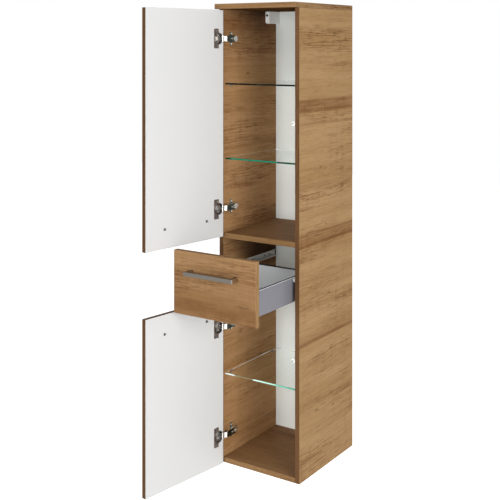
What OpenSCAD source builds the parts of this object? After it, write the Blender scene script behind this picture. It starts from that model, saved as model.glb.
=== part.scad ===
// Tall wall-hung bathroom cabinet: two hinged doors, one drawer between them, three glass shelves.
// Origin: middle of the cabinet's width, on the wall plane, level with the underside.
// The front looks along -Y, the wall is at Y = 0, and all sizes are millimetres.
// The doors are drawn open and the drawer pulled out, as the cabinet is shown.

/* [Carcass] */
// Outside width of the cabinet
carcass_w = 300; // [270:1:400]
// Depth of the side panels, from the wall to their front edges
carcass_d = 306; // [300:1:360]
// Height over all, top board included
total_h = 1420; // [1400:1:1700]
// Thickness of every carcass board
board_t = 16; // [15:0.5:19]
// How far the top board runs out in front of the side panels
top_overhang = 24; // [20:1:40]
// Thickness of the back sheet
back_t = 3; // [2.5:0.5:5]
// Free space between the wall and the back sheet
back_recess = 23; // [20:0.5:26]
// Depth of the grooves that hold the back sheet
groove_depth = 7; // [4:0.5:8]
// Height of the underside of the fixed shelf
shelf_z = 695; // [680:1:705]
// Radius of the wooden dowels
dowel_r = 4; // [3:0.5:5]
// Length of a dowel inside the end of a board
dowel_in_end = 20; // [14:1:24]
// Length of a dowel inside the face of a board
dowel_in_face = 11; // [8:0.5:12]

/* [Fronts] */
// Thickness of the doors and the drawer front
front_t = 16; // [15:0.5:19]
// Space between the carcass and the inner faces of the closed fronts
front_gap = 3; // [3:0.1:4]
// Gap from one front to the next, and under the top board
reveal = 3; // [2:0.5:5]
// How much each end of a front stays inside the width of the carcass
side_inset = 2; // [1.5:0.5:3]
// Height of the lower door
lower_door_h = 511; // [500:1:560]
// Height of the drawer front
drawer_front_h = 184; // [180:1:186]
// Angle of the open doors
door_open = 99; // [90:1:100]

/* [Cup hinges] */
// Distance of a hinge's middle from the end of its door
hinge_end = 88; // [70:1:120]
// Radius of the hinge cup
cup_r = 17.5; // [17:0.25:18]
// Wood left between the cup bore and the edge of the door
cup_edge = 3; // [3:0.25:4]
// Depth of the cup inside the door
cup_depth = 13.4; // [13.2:0.1:13.8]
// Sheet thickness of the cup
cup_wall = 0.6; // [0.5:0.1:0.7]
// Thickness of the flange that rests on the door
flange_t = 1.2; // [1:0.1:1.4]
// Full height of the flange
flange_h = 60; // [56:1:66]
// Spacing of the two cup screws
cup_screw_pitch = 48; // [45:1:50]
// Radius of the hinge pin
pin_r = 1.25; // [1.1:0.05:1.3]
// Distance of the pin from the edge of the door
pin_inset = 7.8; // [7:0.1:7.9]
// Depth of the pin below the inner face of the door
pin_depth = 10.5; // [10.3:0.1:10.6]
// Thickness of the bent steel strip of the arm
strip_t = 1.8; // [1.5:0.1:1.9]
// Width of the arm over its mounting plate
arm_w = 19; // [18:0.5:20]
// Width of the arm's neck, outside the cup
neck_w = 16; // [13:0.5:16]
// Width of the arm inside the cup
strap_w = 12; // [10:0.5:12]
// Height of the arm above the side panel where it leaves the cup
neck_lift = 8; // [7.8:0.1:8.6]
// Height of the straight part of the arm above the side panel
arm_lift = 13.2; // [12.4:0.2:14.6]
// Distance of the end of the arm from the front edge of the side panel
arm_reach = 62; // [58:1:70]
// Distance of the plate screws from the front edge of the side panel
plate_set = 37; // [34:1:40]
// Spacing of the two plate screws
plate_pitch = 32; // [30:1:36]

/* [Drawer] */
// How far the drawer is pulled out
drawer_out = 192; // [0:1:196]
// Space behind the shut drawer
drawer_back_gap = 13; // [10:1:40]
// Underside of the drawer box
drawer_z = 530; // [522:1:540]
// Height of the back of the drawer
drawer_back_h = 80; // [60:1:90]
// Thickness of the drawer's base board and back board
drawer_board_t = 16; // [12:1:16]
// Space between a side panel and a metal drawer side
drawer_gap = 12.5; // [12.5:0.1:14]
// Sheet thickness of the drawer sides and rails
sheet_t = 1.2; // [1:0.1:1.5]
// Height of the roller axles
roller_z = 598; // [592:1:602]
// Radius of the runner rollers
roller_r = 8.3; // [7.5:0.1:9]
// Width of a roller
roller_w = 7.6; // [6:0.1:7.8]
// Radius of the roller axles
axle_r = 2.5; // [2:0.1:3]
// Space behind the cabinet rails
rail_back_gap = 8; // [5:1:30]

/* [Handles] */
// Spacing of the handle screws
handle_pitch = 160; // [96:1:192]
// Width of a handle leg along the handle
handle_leg = 10; // [9:0.5:16]
// How far the bar runs past its legs
handle_over = 3; // [1:0.5:8]
// Height of the bar
handle_h = 12; // [10:0.5:16]
// Thickness of the bar
handle_t = 5; // [4:0.5:7]
// How far the bar stands out
handle_out = 30; // [26:1:36]
// Distance of a handle from the edge of its front
handle_edge = 57; // [40:1:80]

/* [Glass shelves] */
// Thickness of the glass
glass_t = 5; // [4:0.5:8]
// Height of the shelf behind the lower door above the bottom board
glass_low_up = 254.9; // [200:0.1:320]
// Height of the lower shelf behind the upper door above the fixed shelf
glass_mid_up = 227.7; // [190:0.1:260]
// Space between the upper shelf's underside and the top board
glass_top_down = 233.7; // [180:0.1:240]
// Distance of the glass from the front edges of the side panels
glass_set = 6; // [4:0.5:40]
// Space at each end of the glass
glass_play = 2; // [1.5:0.5:3]
// Distance of the front shelf pins from the front edges
pin_front = 37; // [30:1:60]
// Distance of the rear shelf pins from the back sheet
pin_back = 25; // [10:1:60]

/* [Hangers and dampers] */
// Length of a hanger cover
hanger_len = 60; // [54:1:70]
// Height of a hanger cover
hanger_h = 40; // [36:1:44]
// Thickness of a hanger cover
hanger_t = 15; // [14:0.5:18]
// Height of a damper above the lower end of its door
damper_up = 360; // [200:1:420]
// Radius of the damper barrel
damper_r = 5.2; // [4.5:0.1:6]
// Length of the damper barrel
damper_len = 60; // [40:1:80]
// Travel of the damper plunger
plunger_travel = 5; // [3:0.5:8]

/* [Hidden] */
$fn = 48;

// Clearances
tight = 0.05;
running = 0.05;
flat_play = 0.2;
air = 0.3;
cut = 1;

// Places of the carcass
inner_x = carcass_w / 2 - board_t;
side_h = total_h - board_t;
front_y = -carcass_d;
back_y = -back_recess - back_t;
dowel_front = 37;
dowel_back = 60;
dowel_places = [front_y + dowel_front, front_y / 2, -dowel_back];

// Places of the fronts when they are shut
face_y = front_y - front_gap;
front_w = carcass_w - 2 * side_inset;
drawer_front_z = lower_door_h + reveal;
upper_door_z = drawer_front_z + drawer_front_h + reveal;
upper_door_h = side_h - reveal - upper_door_z;
upper_handle_z = upper_door_z + handle_edge;
drawer_handle_z = drawer_front_z + drawer_front_h - handle_edge;
lower_handle_z = lower_door_h - handle_edge;

// Hinge measures, from the inner face of the left side panel and from its front edge
edge_x = side_inset - board_t;
pin_x = edge_x + pin_inset;
pin_y = -front_gap - pin_depth;
cup_x = edge_x + cup_edge + cup_r;
eye_r = 2;
bend_r = 4;
neck_top = neck_lift + strip_t;
arm_top = arm_lift + strip_t;
crank_from = -8.5;
crank_to = 1;
tail_from = 47;
tail_lift = 7.4;
tail_w = 11;
adjuster_set = 24;
hole_set = 31;
hole_r = 2.6;
clamp_set = 40;
clamp_run = [-2, 3];
cheek_from = 12;
cheek_rise = 8;
hinge_heights = [
    upper_door_z + upper_door_h - hinge_end,
    upper_door_z + hinge_end,
    lower_door_h - hinge_end,
    hinge_end
];
flange_screw_shift = 6;

// Drawer measures; the ones with an x are from the inner face of a side panel
drawer_y = face_y - drawer_out;
drawer_len = back_y - face_y - drawer_back_gap;
wall_x = drawer_gap;
roller_x = 3;
flange_x = 5;
rail_lip_x = 11;
rail_catch = 4.2;
rail_set = 2;
rail_roller_set = 12;
side_roller_set = 12;
flange_z = roller_z + roller_r + running;
rail_bottom = roller_z - roller_r - running - sheet_t;
rail_top = roller_z + roller_r + 0.4 + sheet_t;
shoulder_r = 3.6;
ledge_w = 13;
rail_len = back_y - front_y - rail_set - rail_back_gap;
rail_end = rail_set + rail_len;
rail_screw_set = [37, 165, rail_end - 11];
rail_slot_set = [149, rail_end - 58, rail_end - 30];
rail_slot_run = 2;
bracket_up = 24;
bracket_z = drawer_z + bracket_up;
bracket_h = 46;
bracket_reach = 20;

// Screws
head_r = 3.6;
head_t = 1;
wood_screw_r = 1.9;
wood_screw_len = 12;
handle_screw_r = 2;

// Hanger measures
hanger_z = side_h - 0.4 - hanger_h;
hanger_y = back_y - hanger_len;
cover_t = 1.5;
hanger_body_x = hanger_t - cover_t - head_t - 0.5;
hook_t = 3;
hook_h = 14;
hook_x = 5;
hook_down = 20;
hook_z = hanger_z + hanger_h - hook_down;
hook_lip = 4;
hook_drop = 12;
hook_end = -9;
clamp_y = hanger_y + 12;
clamp_z = hanger_z + hanger_h - 12;

// Damper measures
damper_x = damper_r + 1.6;
damper_set = 1;
plunger_r = 2;
plunger_tip_over = 0.5;
plunger_tip_t = 2;
plunger_stem = 18;

oak = "#a47f54";
white = "#e6e6e4";
steel = "#b9bcbd";
grey_metal = "#8d8d98";

// Frames of reference

// Local X runs from the inner face of a side panel into the cabinet: s is -1 left, 1 right
module on_wall(s) {
    translate([s * inner_x, 0, 0])
        mirror([s > 0 ? 1 : 0, 0, 0])
            children();
}

// Origin on the inner face of the left side panel, on its front edge, at a hinge's height
module at_hinge(z) {
    translate([-inner_x, front_y, z])
        children();
}

// Turns what is drawn on a shut door to where the open door is
module opened() {
    translate([pin_x - inner_x, pin_y + front_y, 0])
        rotate([0, 0, -door_open])
            translate([inner_x - pin_x, -pin_y - front_y, 0])
                children();
}

// A rod along X, from x = 0
module rod_x(r, len) {
    rotate([0, 90, 0])
        cylinder(r = r, h = len);
}

// A rod along Y, from y = 0 towards the wall
module rod_y(r, len) {
    rotate([-90, 0, 0])
        cylinder(r = r, h = len);
}

// A slot seen along X: two rods and the bar between them
module slot_x(r, from, to, len) {
    for (y = [from, to])
        translate([0, y, 0])
            rod_x(r, len);
    translate([0, from, -r])
        cube([len, to - from, 2 * r]);
}

// Points of an arc, round a centre
function arc(cx, cy, r, from, to, steps = 6) =
    [for (i = [0:steps]) let (a = from + (to - from) * i / steps) [cx + r * cos(a), cy + r * sin(a)]];

// Carcass

module groove(length_x, height_z) {
    translate([-length_x / 2, back_y - flat_play / 2, 0])
        cube([length_x, back_t + flat_play, height_z]);
}

module level_dowel_cuts(s, z, inward) {
    for (y = dowel_places)
        on_wall(s)
            translate([inward ? 0 : -dowel_in_face - tight, y, z])
                rod_x(dowel_r + tight, inward ? dowel_in_end + tight : dowel_in_face + tight + cut);
}

module upright_dowel_cuts(s, downward) {
    for (y = dowel_places)
        translate([s * (inner_x + board_t / 2), y, side_h - (downward ? dowel_in_end + tight : cut)])
            cylinder(r = dowel_r + tight, h = downward ? dowel_in_end + tight + cut : dowel_in_face + tight + cut);
}

module shelf_pin_cuts(s) {
    for (z = glass_heights, y = pin_places)
        on_wall(s)
            translate([-pin_bore, y, z - stem_drop])
                rod_x(stem_r + tight, pin_bore + cut);
}

module screw_cuts(s, places, z) {
    for (y = places)
        on_wall(s)
            translate([-wood_screw_len, front_y + y, z])
                rod_x(wood_screw_r + tight, wood_screw_len + cut);
}

module side_board(s) {
    color(oak)
        difference() {
            translate([s > 0 ? inner_x : -carcass_w / 2, front_y, 0])
                cube([board_t, carcass_d, side_h]);
            translate([s * inner_x, 0, board_t - groove_depth])
                groove(2 * groove_depth, side_h);
            level_dowel_cuts(s, board_t / 2, false);
            level_dowel_cuts(s, shelf_z + board_t / 2, false);
            upright_dowel_cuts(s, true);
            shelf_pin_cuts(s);
            screw_cuts(s, rail_screw_set, roller_z);
            if (s < 0)
                for (z = hinge_heights)
                    at_hinge(z)
                        plate_screw_holes(euro_r + tight, -euro_len - tight, cut);
            else
                for (z = [damper_up, upper_door_z + damper_up])
                    screw_cuts(s, damper_screw_set, z);
        }
}

module side_left() {
    side_board(-1);
}

module side_right() {
    side_board(1);
}

module top_board() {
    color(oak)
        difference() {
            translate([-carcass_w / 2, front_y - top_overhang, side_h])
                cube([carcass_w, carcass_d + top_overhang, board_t]);
            translate([0, 0, side_h - cut])
                groove(2 * (inner_x + groove_depth), groove_depth + cut);
            for (s = [-1, 1])
                upright_dowel_cuts(s, false);
        }
}

module bottom_board() {
    color(oak)
        difference() {
            translate([-inner_x, front_y, 0])
                cube([2 * inner_x, carcass_d, board_t]);
            translate([0, 0, board_t - groove_depth])
                groove(carcass_w, groove_depth + cut);
            for (s = [-1, 1])
                level_dowel_cuts(s, board_t / 2, true);
        }
}

module fixed_shelf() {
    color(oak)
        difference() {
            translate([-inner_x, front_y, shelf_z])
                cube([2 * inner_x, back_y - flat_play - front_y, board_t]);
            for (s = [-1, 1])
                level_dowel_cuts(s, shelf_z + board_t / 2, true);
        }
}

module back_sheet() {
    sheet_x = inner_x + groove_depth - flat_play;
    sheet_z = board_t - groove_depth + flat_play;
    color(white)
        difference() {
            translate([-sheet_x, back_y, sheet_z])
                cube([2 * sheet_x, back_t, side_h + groove_depth - flat_play - sheet_z]);
            for (s = [-1, 1])
                on_wall(s)
                    translate([hook_x - 2, back_y - cut, hook_z - hook_drop - 2])
                        cube([hook_t + 4, back_t + 2 * cut, hook_h + hook_drop + 4]);
        }
}

module carcass_dowels() {
    color("#d8c199")
        for (s = [-1, 1], y = dowel_places) {
            for (z = [board_t / 2, shelf_z + board_t / 2])
                on_wall(s)
                    translate([-dowel_in_face, y, z])
                        rod_x(dowel_r, dowel_in_face + dowel_in_end);
            translate([s * (inner_x + board_t / 2), y, side_h - dowel_in_end])
                cylinder(r = dowel_r, h = dowel_in_end + dowel_in_face);
        }
}

// Glass shelves and their pins

glass_heights = [board_t + glass_low_up, shelf_z + board_t + glass_mid_up, side_h - glass_top_down];
pin_places = [front_y + pin_front, back_y - pin_back];
stem_r = 2.45;
stem_drop = 4.5;
pin_bore = 9;
collar_r = 4.6;
collar_t = 1.2;
tongue_t = 2;
tongue_len = 9;
tongue_w = 8;

module glass_shelf(z) {
    color("#cfe6da", 0.4)
        translate([glass_play - inner_x, front_y + glass_set, z])
            cube([2 * (inner_x - glass_play), back_y - glass_play - front_y - glass_set, glass_t]);
}

module shelf_pin() {
    translate([-pin_bore + flat_play, 0, -stem_drop])
        rod_x(stem_r, pin_bore);
    translate([0, 0, -stem_drop])
        rod_x(collar_r, collar_t);
    translate([0, -tongue_w / 2, -tongue_t])
        cube([tongue_len, tongue_w, tongue_t]);
    translate([0, tongue_t / 2, 0])
        rotate([90, 0, 0])
            linear_extrude(tongue_t)
                polygon([[0, -stem_drop - stem_r], [0, -tongue_t], [tongue_len - 1, -tongue_t]]);
}

module shelf_pins() {
    color("#dfe7e6")
        for (s = [-1, 1], y = pin_places, z = glass_heights)
            on_wall(s)
                translate([0, y, z])
                    shelf_pin();
}

// Wall hangers inside the upper rear corners

// Outline of a hanger cover seen from the side, drawn smaller by a wall thickness
module cover_outline(inset) {
    r = 7 - inset;
    y0 = hanger_y + inset;
    z0 = hanger_z + inset;
    y1 = back_y;
    z1 = hanger_z + hanger_h - inset;
    polygon(concat(
        [[y1, z0], [y1, z1]],
        arc(y0 + r / 2, z1 - r / 2, r / 2, 90, 180),
        arc(y0 + r, z0 + r, r, 180, 270)
    ));
}

module extruded_along_x(len) {
    rotate([90, 0, 90])
        linear_extrude(len)
            children();
}

module hanger_cover(s) {
    color(white)
        on_wall(s)
            difference() {
                extruded_along_x(hanger_t)
                    cover_outline(0);
                translate([-cut, 0, 0])
                    extruded_along_x(hanger_t - cover_t + cut)
                        cover_outline(cover_t);
                translate([-cut, back_y - cut, hanger_z + cover_t])
                    cube([hanger_t - cover_t + cut, 2 * cut, hanger_h - 2 * cover_t]);
                translate([hook_x + hook_t / 2, hanger_y - cut, hook_z + hook_h / 2])
                    rod_y(head_r + air, cover_t + 2 * cut);
            }
}

module hanger_body(s) {
    body_y = hanger_y + cover_t + 4;
    body_z = hanger_z + cover_t + 1;
    body_h = hanger_h - 2 * cover_t - 2;
    color(steel)
        on_wall(s)
            difference() {
                translate([0, body_y, body_z])
                    cube([hanger_body_x, back_y - 1 - body_y, body_h]);
                translate([hook_x - flat_play, body_y + 4, hook_z - flat_play])
                    cube([hook_t + 2 * flat_play, hanger_len, hook_h + 2 * flat_play]);
                translate([hook_x + hook_t / 2, body_y - cut, hook_z + hook_h / 2])
                    rod_y(handle_screw_r + tight, 4 + 2 * cut);
                translate([hook_x + hook_t + cut, clamp_y, clamp_z])
                    rod_x(handle_screw_r + tight, hanger_t);
            }
}

module hanger_hook(s) {
    tail_y = hanger_y + cover_t + 10;
    color("#9fa4a6")
        on_wall(s) {
            translate([hook_x, tail_y, hook_z])
                cube([hook_t, hook_end - tail_y, hook_h]);
            translate([hook_x, hook_end - hook_lip, hook_z - hook_drop])
                cube([hook_t, hook_lip, hook_drop]);
        }
}

module hanger_screws() {
    color("#5b5f62")
        for (s = [-1, 1])
            on_wall(s) {
                translate([hook_x + hook_t + cut, clamp_y, clamp_z])
                    rod_x(handle_screw_r, hanger_body_x - hook_x - hook_t - cut);
                translate([hanger_body_x, clamp_y, clamp_z])
                    rod_x(head_r, head_t);
                translate([hook_x + hook_t / 2, hanger_y + cover_t + 1, hook_z + hook_h / 2])
                    rod_y(handle_screw_r, 7);
                translate([hook_x + hook_t / 2, hanger_y + cover_t / 2, hook_z + hook_h / 2])
                    rod_y(head_r, head_t + 1);
            }
}

// Cup hinges

euro_r = 2.4;
euro_len = 11;
plate_body_w = 15;
plate_body_t = 6;
plate_tail_w = tail_w - 1;
plate_t = 2;
wing_r = 5.5;
plate_start = 14;
plate_step = 46;
plate_end = 61;

module plate_screw_holes(r, from, to) {
    for (z = [-plate_pitch / 2, plate_pitch / 2])
        translate([from, plate_set, z])
            rod_x(r, to - from);
}

module hinge_plate(i) {
    color(steel)
        at_hinge(hinge_heights[i])
            difference() {
                union() {
                    translate([0, plate_start, -plate_body_w / 2])
                        cube([arm_lift, plate_step - plate_start, plate_body_w]);
                    translate([0, plate_step, -plate_tail_w / 2])
                        cube([plate_body_t, plate_end - plate_step, plate_tail_w]);
                    translate([0, plate_set - wing_r, -plate_pitch / 2])
                        cube([plate_t, 2 * wing_r, plate_pitch]);
                    for (z = [-plate_pitch / 2, plate_pitch / 2])
                        translate([0, plate_set, z])
                            rod_x(wing_r, plate_t);
                }
                plate_screw_holes(euro_r + tight, -cut, plate_t + cut);
                translate([plate_t, clamp_set, 0])
                    rod_x(euro_r + tight, arm_lift);
                translate([plate_body_t, hole_set - hole_r, -plate_body_w])
                    cube([arm_lift, 2 * hole_r, 2 * plate_body_w]);
                translate([-cut, plate_end - 8, -plate_tail_w / 4])
                    cube([plate_body_t / 2, 9, plate_tail_w / 2]);
            }
}

module hinge_arm(i) {
    strap_bottom = pin_y - eye_r;
    cheek_t = (arm_w - plate_body_w) / 2 - flat_play;
    color("#d5d8d9")
        at_hinge(hinge_heights[i])
            difference() {
                union() {
                    translate([pin_x, pin_y, -strap_w / 2])
                        cylinder(r = eye_r, h = strap_w);
                    translate([pin_x, strap_bottom, -strap_w / 2])
                        cube([neck_top - bend_r - pin_x, strip_t, strap_w]);
                    translate([0, 0, -neck_w / 2])
                        arm_bend(strap_bottom);
                    intersection() {
                        translate([0, 0, -arm_w / 2])
                            linear_extrude(arm_w)
                                strip_outline(strap_bottom + bend_r);
                        arm_plan(strap_bottom + bend_r);
                    }
                    for (z = [-arm_w / 2, arm_w / 2 - cheek_t])
                        translate([0, 0, z])
                            linear_extrude(cheek_t)
                                cheek_outline();
                }
                translate([pin_x, pin_y, -strap_w])
                    cylinder(r = pin_r + running, h = 2 * strap_w);
                translate([arm_lift - cut, adjuster_set, 0])
                    rod_x(euro_r + tight, strip_t + 2 * cut);
                translate([arm_lift - cut, hole_set, 0])
                    rod_x(hole_r, strip_t + 2 * cut);
                translate([arm_lift - cut, clamp_set, 0])
                    slot_x(euro_r + air, clamp_run[0], clamp_run[1], strip_t + 2 * cut);
            }
}

// The quarter bend from the strap inside the cup to the neck of the arm
module arm_bend(bottom) {
    translate([neck_top - bend_r, bottom + bend_r, 0])
        intersection() {
            difference() {
                cylinder(r = bend_r, h = neck_w);
                translate([0, 0, -cut])
                    cylinder(r = bend_r - strip_t, h = neck_w + 2 * cut);
            }
            translate([0, -bend_r, 0])
                cube([bend_r, bend_r, neck_w]);
        }
}

// The strip seen along the pin: neck, crank, straight part and falling tail
module strip_outline(from) {
    polygon([
        [neck_lift, from], [neck_top, from], [neck_top, crank_from], [arm_top, crank_to], [arm_top, tail_from],
        [tail_lift + strip_t, arm_reach], [tail_lift, arm_reach], [arm_lift, tail_from], [arm_lift, crank_to],
        [neck_lift, crank_from]
    ]);
}

// The arm seen from the cabinet's middle: neck, body, and a narrower tail with a round end
module arm_plan(from) {
    round_y = arm_reach - tail_w / 2;
    translate([0, from, -neck_w / 2])
        cube([arm_top, crank_to - from, neck_w]);
    translate([0, crank_to, -arm_w / 2])
        cube([arm_top, tail_from - crank_to, arm_w]);
    translate([0, tail_from, -tail_w / 2])
        cube([arm_top, round_y - tail_from, tail_w]);
    translate([0, round_y, 0])
        rod_x(tail_w / 2, arm_top);
}

// A cheek of the arm, which reaches down beside the plate
module cheek_outline() {
    low = plate_t + flat_play;
    high = arm_lift + strip_t / 2;
    polygon([[low, cheek_from], [high, cheek_from - cheek_rise], [high, tail_from], [low, tail_from]]);
}

module hinge_screws() {
    color("#c9cbcc")
        for (z = hinge_heights)
            at_hinge(z) {
                plate_screw_holes(euro_r, -euro_len, plate_t);
                plate_screw_holes(head_r, plate_t, plate_t + head_t);
                translate([arm_lift + tight, adjuster_set, 0])
                    rod_x(euro_r, strip_t + 0.6);
                translate([plate_t + flat_play, clamp_set, 0])
                    rod_x(euro_r, arm_top - plate_t);
                translate([arm_top, clamp_set, 0])
                    rod_x(head_r, head_t);
            }
}

// The cup in the shut door, with its flange and the two cheeks that hold the pin
module hinge_cup(i) {
    bore_r = cup_r - cup_wall;
    cheek_w = 5.6;
    cheek_in = strap_w / 2 + 0.4;
    floor_y = -front_gap - cup_depth + cup_wall;
    color("#a3a6a6")
        opened()
            at_hinge(hinge_heights[i])
                difference() {
                    union() {
                        difference() {
                            cup_shell();
                            translate([cup_x, floor_y, 0])
                                rod_y(bore_r, cup_depth + 2 * cut);
                        }
                        intersection() {
                            translate([cup_x, floor_y - cup_wall / 2, 0])
                                rod_y(bore_r + cup_wall / 2, cup_depth);
                            for (z = [-cup_r, cheek_in])
                                translate([pin_x - cheek_w / 2, floor_y - cup_wall / 2, z])
                                    cube([cheek_w, pin_y + cheek_w / 2 - floor_y, cup_r - cheek_in]);
                        }
                    }
                    translate([pin_x, pin_y, -pin_half - tight])
                        cylinder(r = pin_r + tight / 2, h = 2 * (pin_half + tight));
                }
}

// Half the length of a hinge pin, which ends inside the cheeks
pin_half = strap_w / 2 + 4;

module cup_shell() {
    wing_from = cup_x - 0.5;
    wing_to = cup_x + cup_r + 0.5;
    wing_cut = 3;
    translate([cup_x, -front_gap - cup_depth, 0])
        rod_y(cup_r - tight, cup_depth);
    translate([cup_x, -front_gap, 0])
        rod_y(cup_r + 1, flange_t);
    translate([0, flange_t - front_gap, 0])
        rotate([90, 0, 0])
            linear_extrude(flange_t)
                difference() {
                    polygon([
                        [wing_from, -flange_h / 2], [wing_to - wing_cut, -flange_h / 2],
                        [wing_to, wing_cut - flange_h / 2], [wing_to, flange_h / 2 - wing_cut],
                        [wing_to - wing_cut, flange_h / 2], [wing_from, flange_h / 2]
                    ]);
                    for (z = [-cup_screw_pitch / 2, cup_screw_pitch / 2])
                        translate([cup_x + flange_screw_shift, z])
                            circle(r = wood_screw_r + tight);
                }
}

module hinge_pins(first) {
    color("#c9cbcc")
        opened()
            for (i = [first, first + 1])
                at_hinge(hinge_heights[i])
                    translate([pin_x, pin_y, -pin_half])
                        cylinder(r = pin_r, h = 2 * pin_half);
}

// Doors

module cup_bore(z) {
    at_hinge(z) {
        translate([cup_x, -front_gap - cup_depth - 0.1, 0])
            rod_y(cup_r, cup_depth + 0.1 + cut);
        for (dz = [-cup_screw_pitch / 2, cup_screw_pitch / 2])
            translate([cup_x + flange_screw_shift, -front_gap - wood_screw_len, dz])
                rod_y(wood_screw_r + tight, wood_screw_len + cut);
    }
}

module handle_bores(front_face, z) {
    for (x = [-handle_pitch / 2, handle_pitch / 2])
        translate([x, front_face - cut, z])
            rod_y(handle_screw_r + tight, front_t + 2 * cut);
}

module door(z, h, handle_z, first) {
    color(oak)
        opened()
            difference() {
                translate([-front_w / 2, face_y - front_t, z])
                    cube([front_w, front_t, h]);
                for (i = [first, first + 1])
                    cup_bore(hinge_heights[i]);
                handle_bores(face_y - front_t, handle_z);
            }
}

module door_screws(handle_z, first) {
    color("#c9cbcc")
        opened() {
            handle_screws(face_y, handle_z);
            for (i = [first, first + 1])
                at_hinge(hinge_heights[i])
                    for (dz = [-cup_screw_pitch / 2, cup_screw_pitch / 2])
                        translate([cup_x + flange_screw_shift, -front_gap, dz]) {
                            translate([0, -wood_screw_len, 0])
                                rod_y(wood_screw_r, wood_screw_len + flange_t);
                            translate([0, flange_t, 0])
                                rod_y(head_r, head_t);
                        }
        }
}

// Two handle screws, with their heads on the inner face of a front
module handle_screws(inner_face, z) {
    for (x = [-handle_pitch / 2, handle_pitch / 2])
        translate([x, inner_face, z]) {
            translate([0, -front_t - handle_out / 2, 0])
                rod_y(handle_screw_r, front_t + handle_out / 2);
            rod_y(handle_screw_r * 2, 2);
        }
}

// A bow handle on a front face, seen from above: a flat bar on two legs
module handle_outline() {
    out_x = (handle_pitch + handle_leg) / 2;
    in_x = (handle_pitch - handle_leg) / 2;
    bar_x = out_x + handle_over;
    inner = handle_t - handle_out;
    round_r = 2.5;
    fillet_r = 5;
    taper = 1.5;
    right = concat(
        [[in_x, 0], [out_x, 0], [out_x, inner], [bar_x, inner]],
        arc(bar_x - round_r, round_r - handle_out, round_r, 0, -90)
    );
    right_inner = arc(in_x + taper - fillet_r, inner + fillet_r, fillet_r, -90, 0);
    function flipped(list) = [for (i = [len(list) - 1:-1:0]) [-list[i][0], list[i][1]]];
    polygon(concat(right, flipped(right), flipped(right_inner), right_inner));
}

module handle(front_face, z) {
    color("#a9acad")
        difference() {
            translate([0, front_face, z - handle_h / 2])
                linear_extrude(handle_h)
                    handle_outline();
            for (x = [-handle_pitch / 2, handle_pitch / 2])
                translate([x, front_face - handle_out / 2 - tight, z])
                    rod_y(handle_screw_r + tight / 2, handle_out);
        }
}

module upper_handle() {
    opened()
        handle(face_y - front_t, upper_handle_z);
}

module lower_handle() {
    opened()
        handle(face_y - front_t, lower_handle_z);
}

module drawer_handle() {
    handle(drawer_y - front_t, drawer_handle_z);
}

// Drawer and runners

bracket_len = 32;
bracket_screw_x = wall_x + sheet_t + 13;
bracket_screw_z = [bracket_z + 12, bracket_z + bracket_h - 12];

module drawer_front() {
    color(oak)
        difference() {
            translate([-front_w / 2, drawer_y - front_t, drawer_front_z])
                cube([front_w, front_t, drawer_front_h]);
            handle_bores(drawer_y - front_t, drawer_handle_z);
            for (s = [-1, 1], z = bracket_screw_z)
                on_wall(s)
                    translate([bracket_screw_x, drawer_y - wood_screw_len, z])
                        rod_y(wood_screw_r + tight, wood_screw_len + cut);
        }
}

module drawer_side(s) {
    color(grey_metal)
        on_wall(s) {
            translate([wall_x, drawer_y, drawer_z])
                cube([sheet_t, drawer_len, flange_z + sheet_t - drawer_z]);
            translate([flange_x, drawer_y, flange_z])
                cube([wall_x + sheet_t - flange_x, drawer_len, sheet_t]);
            translate([wall_x, drawer_y, drawer_z])
                cube([sheet_t + ledge_w, drawer_len, sheet_t]);
            translate([0, drawer_y + drawer_len - side_roller_set, roller_z]) {
                translate([roller_x - 0.5, 0, 0])
                    rod_x(axle_r, wall_x + sheet_t - roller_x + 0.5);
                translate([roller_x - 0.5, 0, 0])
                    rod_x(shoulder_r, 0.45);
                translate([roller_x + roller_w + running, 0, 0])
                    rod_x(shoulder_r, wall_x - roller_x - roller_w - running);
            }
        }
}

module rail(s) {
    rail_y = front_y + rail_set;
    track_y = front_y + 2 * rail_roller_set;
    track_len = rail_y + rail_len - track_y;
    color(steel)
        on_wall(s)
            difference() {
                union() {
                    translate([0, rail_y, rail_bottom])
                        cube([sheet_t, rail_len, rail_top - rail_bottom]);
                    translate([0, track_y, rail_bottom])
                        cube([rail_lip_x + sheet_t, track_len, sheet_t]);
                    translate([rail_lip_x, track_y, rail_bottom])
                        cube([sheet_t, track_len, sheet_t + 2]);
                    translate([0, track_y, rail_top - sheet_t])
                        cube([rail_catch, track_len, sheet_t]);
                    translate([0, front_y + rail_roller_set, roller_z])
                        rail_axle();
                }
                for (y = rail_screw_set)
                    translate([-cut, front_y + y, roller_z])
                        rod_x(wood_screw_r + tight, sheet_t + 2 * cut);
                for (y = rail_slot_set)
                    translate([-cut, front_y + y, roller_z])
                        slot_x(wood_screw_r + tight, -rail_slot_run, rail_slot_run, sheet_t + 2 * cut);
            }
}

module rail_axle() {
    rod_x(axle_r, roller_x + roller_w + 0.5);
    rod_x(shoulder_r, roller_x - running);
    translate([roller_x + roller_w + running, 0, 0])
        rod_x(shoulder_r, 0.45);
}

// A nylon roller with a grooved face, its axle along X
module roller() {
    rim = 0.6;
    rotate([0, 90, 0])
        rotate_extrude()
            polygon([
                [axle_r + running, 0], [roller_r - 2, 0], [roller_r - 2, 0.8], [roller_r - rim, 0.8],
                [roller_r, 0.8 + rim], [roller_r, roller_w - rim], [roller_r - rim, roller_w],
                [axle_r + running, roller_w]
            ]);
}

module rail_roller(s) {
    color("white")
        on_wall(s)
            translate([roller_x, front_y + rail_roller_set, roller_z])
                roller();
}

module side_roller(s) {
    color("white")
        on_wall(s)
            translate([roller_x, drawer_y + drawer_len - side_roller_set, roller_z])
                roller();
}

box_x = inner_x - wall_x - sheet_t - flat_play;

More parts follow.
